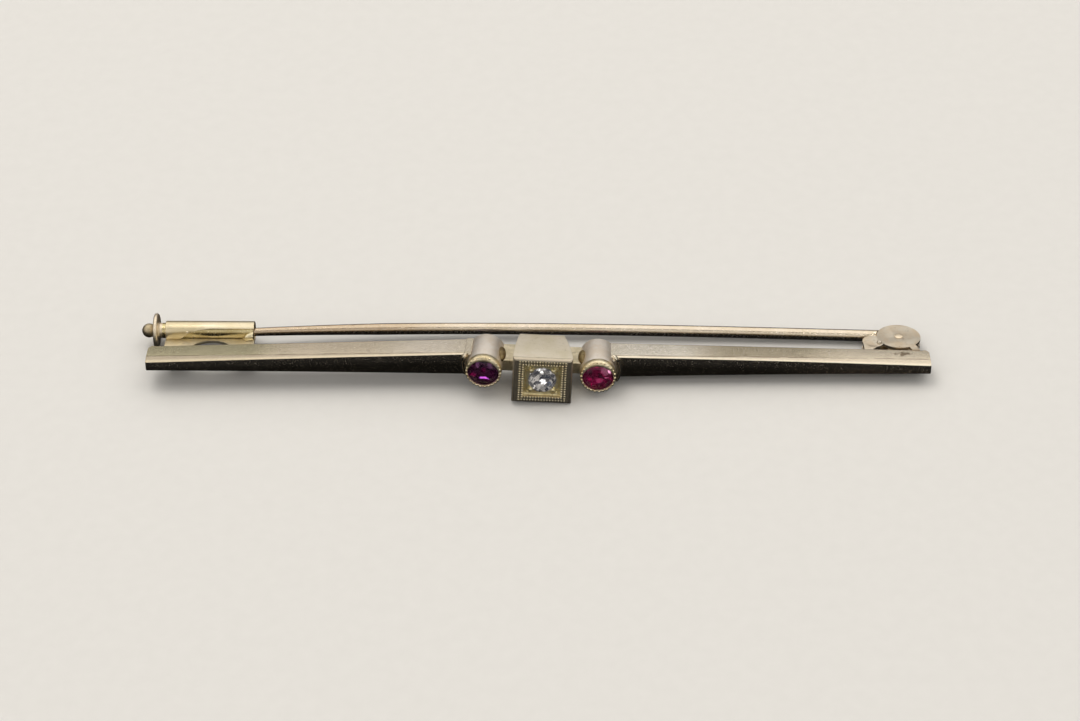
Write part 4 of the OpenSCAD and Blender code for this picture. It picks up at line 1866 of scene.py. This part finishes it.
@dataclass(frozen=True)
class DiamondBox:
    """The square box with its links, milgrain, engraved plate, grains and diamond."""

    cluster: Cluster = Cluster()
    graver: Graver = Graver()
    front: Station = (4.58, 4.0)
    shift: Station = (0.11, -0.15)
    back: Station = (3.43, 2.84)
    front_y: float = -3.05
    back_y: float = 1.2
    rings: tuple[float, ...] = (0.15, 0.3, 0.5, 0.7, 0.85)
    belly: float = 0.08
    bevel: float = 0.2
    frame: float = 0.3
    recess_half: Station = (1.46, 1.4)
    recess: float = 1.4
    back_wall: float = 0.59
    back_recess: float = 2.2
    edge: float = 0.035
    link_x: tuple[Station, Station] = ((-3.15, -1.7), (1.7, 3.28))
    link_y: Station = (-1.2, 1.15)
    link_h: float = 1.0
    link_edge: float = 0.1
    solder: tuple[Spot, Spot] = ((-3.05, -0.5, 0.56), (3.15, -0.48, 0.56))
    solder_r: float = 0.3
    solder_shape: Spot = (1.15, 2.8, 1.4)
    bead_r: float = 0.088
    bead_shape: Station = (0.74, 1.1)
    bead_out: float = 0.03
    beads_across: int = 14
    rows_apart: float = 0.25
    row_step: float = 0.045
    proud: float = 0.02
    plate_deep: float = 0.26
    plate_half: float = 1.47
    plate_t: float = 0.5
    seat: tuple[Station, ...] = ((1.25, -0.2), (0.72, 0.36), (0.72, 0.8))
    stone_r: float = 1.05
    grain_r: float = 0.2
    grains: tuple[Spot, Spot] = ((1.2, 0.04, 1.0), (1.56, 0.0, 0.5))

    def build(self, bench: Bench) -> None:
        """Models the box and all that is in it.

        Args:
            bench: The bench.
        """
        place = self.cluster.matrix()
        shell = bench.put(self._shell(bench), place)
        bench.finish(shell, "diamond_box_gold", BOX_GOLD, Body.BROOCH, ["diamond_box"])
        links = bench.put(bench.join(*self._links(bench)), place)
        bench.finish(links, "box_links_gold", LINK_GOLD, Body.BROOCH)
        # Drops of solder, their dark colour partly painted shade, where the links meet the collets.
        solder = bench.put(bench.join(*self._solder(bench)), place)
        bench.finish(solder, "box_links_solder", SOLDER_AND_SHADE, Body.BROOCH)
        place = place @ Matrix.Translation((self.shift[0], 0, self.shift[1]))
        milgrain = bench.put(self._milgrain(bench), place)
        bench.finish(milgrain, "box_milgrain", YELLOW_GOLD, Body.BROOCH)
        plate = bench.put(self._plate(bench), place)
        bench.finish(plate, "stone_plate_gold", PLATE_GOLD, Body.BROOCH, ["stone_plate"])
        cut = StoneCut(
            self.stone_r, table=0.5, crown=0.22, pavilion=0.5, seed=7, wander=5, chip=0.03
        )
        turn = Matrix.Rotation(math.radians(-90), 4, "X")
        seat = place @ Matrix.Translation((0, self.front_y + self.proud, 0)) @ turn
        crown = bench.put(cut.crown_piece(bench), seat)
        bench.finish(crown, "diamond_crown", DIAMOND, Body.BROOCH, ["diamond"], smooth=1)
        # The back facets carry the diamond's painted light: painted glints, painted shade and a painted
        # glow.
        back = bench.put(cut.back_piece(bench), seat)
        painted_back = replace(DIAMOND_PAINTED_BACK, centre=(seat.translation.x, seat.translation.z))
        bench.finish(back, "diamond_back", painted_back, Body.BROOCH, smooth=1)

    def _shell(self, bench: Bench) -> Piece:
        """The tapering box with its bevelled front, its recess and its open back.

        Args:
            bench: The bench.

        Returns:
            The box.
        """
        shell = bench.block((-1, self.front_y, -1), (1, self.back_y, 1))
        deep = self.back_y - self.front_y
        for share in self.rings:
            bench.slice(shell, (0, self.front_y + deep * share, 0), (0, 1, 0), cut=False)
        with bench.edit(shell):
            for share in (0, *self.rings, 1):
                y = self.front_y + deep * share
                swell = self.belly * 4 * share * (1 - share)
                width, height = (
                    (f + (b - f) * share) / 2 + swell for f, b in zip(self.front, self.back, strict=True)
                )
                across, up = (move * (1 - share) for move in self.shift)
                bench.pick(shell, "verts", lambda v, y=y: abs(v.co.y - y) < NEAR)
                bpy.ops.transform.resize(value=(width, 1, height), center_override=(0, 0, 0))
                bpy.ops.transform.translate(value=(across, 0, up))
            bench.pick(shell, "edges", lambda e: all(v.co.y < self.front_y + NEAR for v in e.verts))
            bpy.ops.mesh.bevel(offset=self.bevel, segments=1, affect="EDGES")
            bench.pick(shell, "faces", lambda f: f.normal.y < -FACING)
            bpy.ops.mesh.inset(thickness=self.frame)
            wide, high = (
                recess / (side / 2 - self.bevel - self.frame)
                for recess, side in zip(self.recess_half, self.front, strict=True)
            )
            middle = (self.shift[0], 0, self.shift[1])
            bpy.ops.transform.resize(value=(wide, 1, high), center_override=middle)
            bpy.ops.mesh.extrude_region_move(TRANSFORM_OT_translate={"value": (0, self.recess, 0)})
            bench.pick(shell, "faces", lambda f: f.normal.y > FACING and f.calc_center_median().y > 0)
            bpy.ops.mesh.inset(thickness=self.back_wall)
            inward = {"value": (0, -self.back_recess, 0)}
            bpy.ops.mesh.extrude_region_move(TRANSFORM_OT_translate=inward)
        return bench.ease(shell, self.edge, segments=3, angle=28)

    def _links(self, bench: Bench) -> list[Piece]:
        """The two short links to the collets.

        Args:
            bench: The bench.

        Returns:
            The links.
        """
        (front, back), half = self.link_y, self.link_h / 2
        links = [bench.block((low, front, -half), (high, back, half)) for low, high in self.link_x]
        return [bench.ease(link, self.link_edge, 4) for link in links]

    def _solder(self, bench: Bench) -> list[Piece]:
        """Drops of solder where the links meet the collets, coloured dark partly as painted shade.

        Args:
            bench: The bench.

        Returns:
            The drops.
        """
        shape = Matrix.Diagonal((*self.solder_shape, 1))
        return [
            bench.put(bench.bead(self.solder_r, (0, 0, 0), 4), Matrix.Translation(spot) @ shape)
            for spot in self.solder
        ]

    def _milgrain(self, bench: Bench) -> Piece:
        """Two square rows of beads round the plate.

        Args:
            bench: The bench.

        Returns:
            The rows.
        """
        flat, long = self.bead_shape
        upright, across = Matrix.Diagonal((flat, 1, long, 1)), Matrix.Diagonal((long, 1, flat, 1))
        rows = []
        for step in (0, 1):
            half_w, half_h = (
                half + self.bead_out + step * self.rows_apart for half in self.recess_half
            )
            y = self.front_y - self.proud + step * self.row_step
            count = self.beads_across + 2 * step
            for i in range(count):
                share = 2 * i / count - 1
                for sign in (1, -1):
                    across_spot = Vector((half_w * share * sign, y, half_h * sign))
                    side_spot = Vector((half_w * sign, y, -half_h * share * sign))
                    rows.append(Matrix.Translation(across_spot) @ upright)
                    rows.append(Matrix.Translation(side_spot) @ across)
        return bench.repeat(bench.bead(self.bead_r, (0, 0, 0)), rows)

    def _plate(self, bench: Bench) -> Piece:
        """The plate with its seat, its bright cuts and its grains.

        Args:
            bench: The bench.

        Returns:
            The plate.
        """
        face, side, graver = self.front_y + self.plate_deep, self.plate_half, self.graver
        plate = bench.block((-side, face, -side), (side, face + self.plate_t, side))
        seat = bench.turned(self.seat, ROUND, Cap.FLAT, Cap.FLAT)
        back = Matrix.Translation((0, face, 0)) @ Matrix.Rotation(math.radians(-90), 4, "X")
        bench.cut(plate, bench.put(seat, back))
        for turn in range(0, 360, 90):
            for lean in (-graver.lean, graver.lean):
                bench.cut(plate, graver.wedge(bench, face, 45 + turn + lean, lean))
            bench.cut(plate, graver.slope(bench, face, side, turn))
        spots = [
            Matrix.Rotation(math.radians(45 + turn), 4, "Y")
            @ Matrix.Translation((reach, face - rise, 0))
            @ Matrix.Scale(size, 4)
            for turn in range(0, 360, 90)
            for reach, rise, size in self.grains
        ]
        grain = bench.bead(self.grain_r, (0, 0, 0), 3)
        return bench.join(plate, bench.repeat(grain, spots))


@dataclass(frozen=True)
class Sheath:
    """Sizes that the catch and the slider share; their axis runs along +X."""

    left: float = -29.0
    right: float = -22.1
    radius: float = 0.765
    bore: float = 0.63
    y: float = 5.2
    z: float = 0.05
    window_tilt: float = 5.0
    window_half: float = 0.48

    def along(self, x: float) -> Matrix:
        """From axes with +Z along the sheath to own axes."""
        return Matrix.Translation((x, self.y, self.z)) @ Matrix.Rotation(math.radians(90), 4, "Y")

    def facing(self, x: float) -> Matrix:
        """From axes with X along the sheath, -Y out of its window and +Z up, to own axes."""
        lean = Matrix.Rotation(math.radians(-self.window_tilt), 4, "X")
        return Matrix.Translation((x, self.y, self.z)) @ lean


@dataclass(frozen=True)
class Catch:
    """The C-shaped sheath on its base, which is soldered behind the left arm."""

    sheath: Sheath = Sheath()
    depth: float = 2.4
    edge: float = 0.03
    wall_edge: float = 0.025
    base_z: Station = (-0.58, -0.36)
    base_under: float = 0.4
    sunk: float = 0.02
    arch_x: float = 0.2
    arch_r: float = 1.8
    arch_out: float = 0.22
    window_x: float = 0.5
    lip: tuple[Station, ...] = ((1.0, -0.5), (1.75, 0.1), (2.5, 0.36), (3.8, 0.48))
    fillet_x: tuple[float, ...] = (-28.7, -28.2, -27.8, -23.3, -22.7, -22.3)
    fillet_r: float = 0.16
    fillet_long: Station = (1.2, 2.2)
    fillet_high: Station = (0.5, 0.8)
    fillet_seed: int = 11
    barb_r: float = 0.09
    barb: Spot = (1.72, 0.03, 0.23)

    def build(self, bench: Bench) -> None:
        """Models the catch.

        Args:
            bench: The bench.
        """
        s = self.sheath
        end, edge = s.right - s.left, self.edge
        wall = bench.turned(
            [
                (s.radius, edge),
                (s.radius, end - edge),
                (s.radius - edge, end),
                (s.bore + edge, end),
                (s.bore, end - edge),
                (s.bore, edge),
                (s.bore + edge, 0),
                (s.radius - edge, 0),
                (s.radius, edge),
            ]
        )
        bench.put(wall, s.along(s.left))
        bench.cut(wall, self._window(bench))
        low, high = self.base_z
        base = bench.block(
            (s.left, self.depth - self.sunk, low), (s.right, s.y - self.base_under, high)
        )
        middle = Vector(((s.left + s.right) / 2 + self.arch_x, self.depth + self.arch_out, 0))
        arch = bench.put(bench.rod(self.arch_r, -1, 1), Matrix.Translation(middle))
        bore = bench.put(bench.rod(s.bore + self.sunk, -1, end + 1), s.along(s.left))
        bench.cut(bench.cut(base, arch), bore)
        bench.ease(base, self.edge, 2, CREASE)
        bench.ease(wall, self.wall_edge, segments=2, angle=40)
        bench.finish(wall, "catch_gold_sheath", CATCH_GOLD, Body.BROOCH, ["catch"])
        base = bench.join(base, *self._fillets(bench))
        bench.finish(base, "catch_gold_base", BASE_GOLD, Body.BROOCH)

    def _window(self, bench: Bench) -> Piece:
        """The way through the near wall, slanting shut at the closed collar.

        Args:
            bench: The bench.

        Returns:
            The cutting tool.
        """
        s = self.sheath
        half = s.window_half
        tool = bench.block((self.window_x, -2, -half), (s.right - s.left + 1, 0, half))
        for (x0, z0), (x1, z1) in zip(self.lip, self.lip[1:], strict=False):
            bench.slice(tool, (x0, 0, z0), (z0 - z1, 0, x1 - x0))
        return bench.put(tool, s.facing(s.left))

    def _fillets(self, bench: Bench) -> list[Piece]:
        """Small solder blobs where the base meets the bar.

        Args:
            bench: The bench.

        Returns:
            The blobs.
        """
        rng = random.Random(self.fillet_seed)
        blobs = []
        for x in self.fillet_x:
            blob = bench.bead(self.fillet_r, (0, 0, 0), 3)
            long, high = rng.uniform(*self.fillet_long), rng.uniform(*self.fillet_high)
            place = Matrix.Translation((x, self.depth + self.sunk, self.base_z[1] - self.sunk))
            blobs.append(bench.put(blob, place @ Matrix.Diagonal((long, 1.0, high, 1))))
        s, (along, sunk, up) = self.sheath, self.barb
        place = s.facing(s.left) @ Matrix.Translation((along, sunk - s.radius, up))
        blobs.append(bench.put(bench.bead(self.barb_r, (0, 0, 0), 3), place))
        return blobs


@dataclass(frozen=True)
class Plane:
    """A plane to cut along: a point of it and the way that what it removes lies."""

    point: Spot
    normal: Spot


@dataclass(frozen=True)
class Slider:
    """The safety tube with its stop lug, finger disc and ball, turned in one piece."""

    sheath: Sheath = Sheath()
    radius: float = 0.6
    bore: float = 0.48
    start: float = 0.3
    end_x: float = -22.16
    edge: float = 0.03
    thin: float = 0.02
    disc_x: float = -29.57
    disc_r: float = 1.35
    disc_t: float = 0.34
    cone: float = 0.1
    neck_r: float = 0.3
    ball_r: float = 0.55
    ball_sunk: float = 0.12
    lug_back: float = 0.06
    lug_low: Spot = (-0.95, -0.84, -0.44)
    lug_high: Spot = (0.04, -0.5, 0.3)
    lug_edge: float = 0.025
    lug_faces: tuple[Plane, ...] = (
        Plane((-0.78, 0, -0.26), (-0.8, 0, 1)),
        Plane((-0.38, 0, 0.06), (-0.34, 0, 1)),
        Plane((-0.2, -0.84, -0.12), (-0.1, -0.8, 0.75)),
        Plane((-0.55, -0.84, -0.3), (-0.75, -0.7, 0.2)),
        Plane((-0.1, -0.84, -0.25), (0.3, -0.9, -0.35)),
    )

    def build(self, bench: Bench) -> None:
        """Models the slider.

        Args:
            bench: The bench.
        """
        place = self.sheath.along(self.disc_x)
        tube = bench.put(self._tube(bench), place)
        bench.finish(self._lug(bench), "safety_lug_gold", YELLOW_GOLD, Body.SLIDER)
        bench.finish(tube, "safety_tube_gold", TUBE_GOLD_SHADED, Body.SLIDER, ["safety_slider"])
        grip = bench.put(self._grip(bench), place)
        bench.finish(grip, "finger_disc_gold", ROSE_GOLD, Body.SLIDER)

    def _tube(self, bench: Bench) -> Piece:
        """The tube that closes round the pin's point.

        Args:
            bench: The bench.

        Returns:
            The tube.
        """
        end = self.end_x - self.disc_x
        profile = [
            (self.bore, self.start),
            (self.bore, end - self.thin),
            (self.bore + self.thin, end),
            (self.radius - self.edge, end),
            (self.radius, end - self.edge),
            (self.radius, self.start),
            (self.bore, self.start),
        ]
        return bench.turned(profile)

    def _grip(self, bench: Bench) -> Piece:
        """The finger disc with its cone and its ball.

        Args:
            bench: The bench.

        Returns:
            The disc, cone and ball in one.
        """
        half = self.disc_t / 2
        ball = -self.disc_t - self.ball_r + self.ball_sunk
        profile = [
            (self.radius - self.thin, self.start + self.thin),
            (self.radius, self.start),
            (self.radius, self.cone),
            (self.radius + self.cone, 0.0),
            *arc((self.disc_r - half, -half), half, 90, -90, 12),
            (self.neck_r, -self.disc_t - self.thin),
            *arc((0, ball), self.ball_r, 35, -88, 16),
        ]
        return bench.turned(profile, ROUND, Cap.FLAT, Cap.POINT)

    def _lug(self, bench: Bench) -> Piece:
        """The stop lug in the window, filed to slanting faces that clear the window's lip.

        Args:
            bench: The bench.

        Returns:
            The lug.
        """
        lug = bench.block(self.lug_low, self.lug_high)
        for face in self.lug_faces:
            bench.slice(lug, face.point, face.normal)
        bench.ease(lug, self.lug_edge, 2)
        return bench.put(lug, self.sheath.facing(self.end_x - self.lug_back))


@dataclass(frozen=True)
class Hinge:
    """Two round cheeks with their lobes and feet, and the rivet through them."""

    x: float = 27.88
    y: float = 4.35
    depth: float = 2.4
    cheek_r: float = 1.68
    cheek_t: float = 0.22
    gap: float = 0.4
    lobe: Station = (-2.03, -0.75)
    lobe_r: float = 0.83
    cheek_edge: float = 0.05
    left_leg_in: float = 0.03
    left_leg: tuple[Station, ...] = ((-0.77, 0), (-0.15, 0), (0.4, 0.6))
    right_leg: tuple[Station, ...] = ((0.6, 0.65), (0.85, 0), (1.45, 0), (1.1, 0.95))
    feet_in: float = 0.06
    feet_sunk: float = 0.05
    feet_edge: float = 0.03
    strip_end: float = 1.4
    strip_y: Station = (-0.02, 0.08)
    stop_w: float = 0.62
    solder_r: float = 0.21
    solder: Station = (-1.58, -0.97)
    sunk: float = 0.02
    rivet_r: float = 0.3
    rivet_play: float = 0.015
    rivet_head: tuple[Station, ...] = ((0.12, 0.09), (0.25, 0.07), (0.34, 0.03))

    @property
    def place(self) -> Matrix:
        """From axes at the rivet to own axes."""
        return Matrix.Translation((self.x, self.y, 0))

    def build(self, bench: Bench) -> None:
        """Models the bracket and the rivet.

        Args:
            bench: The bench.
        """
        upper = self._cheek(bench)
        lower = upper.copy()
        lower.data = upper.data.copy()
        bpy.context.scene.collection.objects.link(lower)
        bench.put(lower, Matrix.Translation((0, 0, -self.gap - self.cheek_t)))
        bracket = bench.join(upper, lower, *self._feet(bench))
        bench.put(bracket, self.place)
        bench.finish(bracket, "hinge_bracket_gold", HINGE_GOLD, Body.BROOCH, ["hinge_bracket"])
        rivet = bench.put(self._rivet(bench), self.place)
        bench.finish(rivet, "hinge_rivet_gold", ROSE_GOLD, Body.BROOCH, ["hinge_rivet"])

    def _cheek(self, bench: Bench) -> Piece:
        """The upper cheek, with the rivet's hole, in axes at the rivet.

        Args:
            bench: The bench.

        Returns:
            The cheek.
        """
        low, high = self.gap / 2, self.gap / 2 + self.cheek_t
        cheek = bench.rod(self.cheek_r, low, high)
        lobe = bench.put(bench.rod(self.lobe_r, low, high), Matrix.Translation((*self.lobe, 0)))
        bench.fuse(cheek, lobe)
        for outline in self._legs():
            bench.fuse(cheek, bench.plate(outline, low, high))
        hole_r = self.rivet_r + self.rivet_play
        bench.cut(cheek, bench.rod(hole_r, low - 1, high + 1, SMALL_ROUND))
        return bench.ease(cheek, self.cheek_edge, 3, CREASE)

    def _legs(self) -> list[list[Station]]:
        """Outlines of the left and right leg, in axes at the rivet, seen from above.

        Returns:
            The two outlines.
        """
        foot = self.depth - self.y
        x, y = self.lobe
        left = [(x + along, foot + out) for along, out in self.left_leg]
        right = [(along, foot + out) for along, out in self.right_leg]
        return [[(x - self.lobe_r + self.left_leg_in, y), *left, (x, y)], right]

    def _feet(self, bench: Bench) -> list[Piece]:
        """The strip on the bar, the stop between the cheeks and the solder.

        Args:
            bench: The bench.

        Returns:
            The strip, the stop and a drop of solder.
        """
        foot = self.depth - self.y
        left = self.lobe[0] - self.lobe_r + self.feet_in
        half = self.gap / 2 + self.feet_sunk
        low, high = (foot + y for y in self.strip_y)
        strip = bench.block((left, low, -half), (self.strip_end, high, half))
        stop = bench.block((left, foot, -half), (left + self.stop_w, self.lobe[1], half))
        top = self.gap / 2 + self.cheek_t
        drop = bench.bead(self.solder_r, (*self.solder, top + self.sunk), 3)
        return [bench.ease(strip, self.feet_edge, 2), bench.ease(stop, self.feet_edge, 2), drop]

    def _rivet(self, bench: Bench) -> Piece:
        """The rivet with its two burred heads.

        Args:
            bench: The bench.

        Returns:
            The rivet.
        """
        top = self.gap / 2 + self.cheek_t
        profile = [
            *((radius, -top - proud) for radius, proud in self.rivet_head),
            (self.rivet_r, -top + self.sunk),
            (self.rivet_r, top - self.sunk),
            *((radius, top + proud) for radius, proud in reversed(self.rivet_head)),
        ]
        return bench.turned(profile, SMALL_ROUND, Cap.FLAT, Cap.FLAT)


@dataclass(frozen=True)
class Stem:
    """The bowed pin stem with its flat tongue and eye."""

    hinge: Hinge = Hinge()
    radius: float = 0.45
    mouth_r: float = 0.32
    bow: float = 0.72
    lean: float = 0.7
    root: Station = (26.68, 5.05)
    root_room: float = 1.75
    mouth: Station = (-22.16, 5.13)
    tip: Station = (-26.25, 5.04)
    start: float = 0.002
    steps: int = 60
    taper_from: float = 0.8
    point: tuple[float, ...] = (0.25, 0.5, 0.7, 0.85, 0.94, 0.98)
    point_power: float = 0.7
    point_r: float = 0.03
    point_end: float = 0.06
    sides: int = 32
    tongue_x: Station = (-2.2, -0.6)
    tongue_half: Station = (0.46, 0.175)
    hub_r: float = 1.4
    play: float = 0.03
    edge: float = 0.03

    def build(self, bench: Bench) -> None:
        """Models the stem.

        Args:
            bench: The bench.
        """
        room = bench.put(bench.rod(self.root_room, -1, 1), self.hinge.place)
        wire = bench.ease(bench.cut(self._wire(bench), room), self.edge, 2, CREASE)
        stem = bench.join(wire, self._eye(bench))
        bench.finish(stem, "pin_stem_gold", STEM_GOLD, Body.PIN, ["pin_stem"])

    def _line(self, share: float) -> Vector:
        """A point of the bow, from its root at 0 to the mouth at 1, fuller towards the mouth.

        Args:
            share: Share of the way along the bow.

        Returns:
            The point.
        """
        x = self.root[0] + (self.mouth[0] - self.root[0]) * share
        y = self.root[1] + (self.mouth[1] - self.root[1]) * share
        fuller = 1 + self.lean * (share - 0.5)
        return Vector((x, y + self.bow * 4 * share * (1 - share) * fuller, 0))

    def _wire(self, bench: Bench) -> Piece:
        """The wire: a ring drawn from the tongue along the bow to the point.

        Args:
            bench: The bench.

        Returns:
            The wire.
        """
        stations = []
        for i in range(self.steps + 1):
            share = self.start + (1 - self.start) * i / self.steps
            taper = max(0.0, (share - self.taper_from) / (1 - self.taper_from))
            stations.append((self._line(share), self.radius + (self.mouth_r - self.radius) * taper))
        mouth, tip = Vector((*self.mouth, 0)), Vector((*self.tip, 0))
        for share in self.point:
            radius = self.mouth_r * (1 - share) ** self.point_power + self.point_r
            stations.append((mouth.lerp(tip, share), radius))
        return self._drawn(bench, stations)

    def _drawn(self, bench: Bench, stations: Sequence[tuple[Vector, float]]) -> Piece:
        """Draws a ring along the stations.

        Args:
            bench: The bench.
            stations: Place and radius of each ring.

        Returns:
            The drawn piece, closed at both ends.
        """
        place, radius = stations[0]
        bpy.ops.object.select_all(action="DESELECT")
        bpy.ops.mesh.primitive_circle_add(vertices=self.sides, radius=1, fill_type="NOTHING")
        ring = bpy.context.object
        bench.put(ring, Matrix.Rotation(math.radians(90), 4, "Y"))
        bench.put(ring, Matrix.Translation(place) @ Matrix.Diagonal((1, radius, radius, 1)))
        with bench.edit(ring, "EDGE"):
            bpy.ops.mesh.edge_face_add()
            bench.pick(ring, "edges", lambda e: len(e.link_faces) == 1)
            for new_place, new_radius in stations[1:]:
                bpy.ops.mesh.extrude_region_move(
                    TRANSFORM_OT_translate={"value": new_place - place}
                )
                share = new_radius / radius
                bpy.ops.transform.resize(value=(1, share, share), center_override=new_place)
                place, radius = new_place, new_radius
            onward = {"value": (-self.point_end, 0, 0)}
            bpy.ops.mesh.extrude_region_move(TRANSFORM_OT_translate=onward)
            bpy.ops.mesh.merge(type="CENTER")
        return bench.heal(ring)

    def _eye(self, bench: Bench) -> Piece:
        """The flat round eye on the rivet with its tongue.

        Args:
            bench: The bench.

        Returns:
            The eye.
        """
        wide, half = self.tongue_half
        eye = bench.rod(self.hub_r, -half, half)
        across = self.root[1] - self.hinge.y
        start, end = self.tongue_x
        tongue = bench.block((start, across - wide, -half), (end, across + wide, half))
        bench.fuse(eye, tongue)
        bench.cut(eye, bench.rod(self.hinge.rivet_r + self.play, -1, 1, SMALL_ROUND))
        bench.ease(eye, self.edge, 2, CREASE)
        return bench.put(eye, self.hinge.place)


@dataclass(frozen=True)
class SoftBox:
    """A soft box of an even radiance that looks at the brooch: its middle and size in metres."""

    name: str
    place: Spot
    size: Station
    radiance: float
    colour: Colour = (1.0, 0.965, 0.91)

    def hang(self) -> Piece:
        """Hangs the box.

        Returns:
            The light, its face as bright whatever its size.
        """
        data = bpy.data.lights.new(self.name, "AREA")
        data.shape = "RECTANGLE"
        data.size, data.size_y = self.size
        data.energy = self.radiance * math.pi * self.size[0] * self.size[1]
        data.color = self.colour
        lamp = bpy.data.objects.new(self.name, data)
        bpy.context.scene.collection.objects.link(lamp)
        place = Vector(self.place)
        turn = place.to_track_quat("Z", "Y").to_matrix().to_4x4()
        lamp.matrix_world = Matrix.Translation(place) @ turn
        return lamp


@dataclass(frozen=True)
class Studio:
    """The pale floor, the soft light and the camera."""

    elevation: float = 32.18
    yaw: float = 0.6
    distance: float = 210.7
    focus_px: float = 2750.0
    width_px: float = 1080.0
    target: Spot = (0.15, 1.2, 0.0)
    sensor: float = 36.0
    clip_start: float = 0.005
    floor_size: float = 3
    floor_grain: float = 900
    floor_dark: Colour = (0.74, 0.73, 0.71)
    floor_light: Colour = (0.78, 0.77, 0.75)
    floor_rough: float = 0.9
    floor_shine: float = 0.1
    tent: tuple[SoftBox, ...] = (
        SoftBox("back_box", (0.0, 0.72, 0.23), (1.5, 0.3), 0.42),
        SoftBox("top_box", (0.0, 0.25, 0.6), (1.4, 1.1), 1.05),
        SoftBox("left_box", (-0.9, -0.1, 0.5), (1.2, 0.8), 0.6),
        SoftBox("right_box", (0.9, -0.1, 0.5), (1.2, 0.8), 0.6),
        SoftBox("front_box", (0.0, -0.7, 0.5), (1.7, 0.9), 0.62),
    )
    sparks: tuple[Spot, ...] = (
        (0.12, -0.28, 0.42),
        (-0.3, -0.25, 0.3),
        (0.4, -0.3, 0.16),
        (-0.12, 0.1, 0.5),
        (0.2, 0.12, 0.45),
    )
    spark_size: Station = (0.045, 0.045)
    spark_radiance: float = 9.0
    fill: SoftBox = SoftBox("floor_fill", (-0.3, 0.35, 0.9), (0.5, 0.5), 2.6)
    room: Colour = (0.95, 0.95, 1.0)
    room_strength: float = 0.012

    def build(self, rest: Rest) -> None:
        """Sets the scene.

        Args:
            rest: The lie of the brooch.
        """
        self._camera(rest)
        self._floor()
        self._lights()
        self._world()
        bpy.context.scene.view_settings.view_transform = "Standard"

    def _camera(self, rest: Rest) -> None:
        """Places the camera as the photograph was taken, in the brooch's own axes.

        Args:
            rest: The lie of the brooch.
        """
        elevation, yaw = math.radians(self.elevation), math.radians(self.yaw)
        back = Vector(
            (
                math.sin(yaw) * math.cos(elevation),
                -math.cos(yaw) * math.cos(elevation),
                math.sin(elevation),
            )
        )
        right = Vector((0, 0, 1)).cross(back).normalized()
        up = back.cross(right)
        turn = (rest.matrix.to_3x3() * (1 / MM)) @ Matrix((right, up, back)).transposed()
        data = bpy.data.cameras.new("camera")
        data.sensor_width = self.sensor
        data.lens = self.focus_px / self.width_px * self.sensor
        data.clip_start = self.clip_start
        camera = bpy.data.objects.new("camera", data)
        bpy.context.scene.collection.objects.link(camera)
        place = rest.place(Vector(self.target) + back * self.distance)
        camera.matrix_world = Matrix.Translation(place) @ turn.to_4x4()
        bpy.context.scene.camera = camera

    def _floor(self) -> None:
        """Makes the plain pale floor."""
        bpy.ops.object.select_all(action="DESELECT")
        bpy.ops.mesh.primitive_plane_add(size=self.floor_size)
        floor = bpy.context.object
        floor.name = "floor"
        nodes = Nodes("floor_pale")
        own = nodes.add("ShaderNodeTexCoord").outputs["Object"]
        grain = nodes.noise(own, self.floor_grain, 3)
        shader = nodes.add(
            "ShaderNodeBsdfPrincipled",
            None,
            {
                "Base Color": nodes.mix(grain, self.floor_dark, self.floor_light),
                "Roughness": self.floor_rough,
                "Specular IOR Level": self.floor_shine,
            },
        )
        floor.data.materials.append(nodes.output(shader.outputs[0]))
        floor.visible_glossy = False

    def _lights(self) -> None:
        """Hangs the tent of soft boxes, dimmer low at the back, the sparks and the floor's light."""
        for box in self.tent:
            box.hang()
        for number, spot in enumerate(self.sparks):
            SoftBox(f"spark_{number}", spot, self.spark_size, self.spark_radiance).hang()
        self.fill.hang().visible_glossy = False

    def _world(self) -> None:
        """Sets the even light of the room."""
        world = bpy.data.worlds.new("room")
        world.use_nodes = True
        background = world.node_tree.nodes["Background"]
        background.inputs[0].default_value = (*self.room, 1)
        background.inputs[1].default_value = self.room_strength
        bpy.context.scene.world = world


def main() -> None:
    logging.basicConfig(level=logging.INFO, format="%(message)s")
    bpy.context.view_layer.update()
    hinge = Hinge()
    rest = Rest.of_joints(frame["joints"], Vector((hinge.x, hinge.y, 0)))
    bench = Bench(rest)
    Studio().build(rest)
    for side in Side:
        Arm(side).build(bench)
        Collet(side).build(bench)
    DiamondBox().build(bench)
    Catch().build(bench)
    Slider().build(bench)
    hinge.build(bench)
    Stem(hinge).build(bench)
    bpy.context.view_layer.update()


if __name__ == "__main__":
    main()
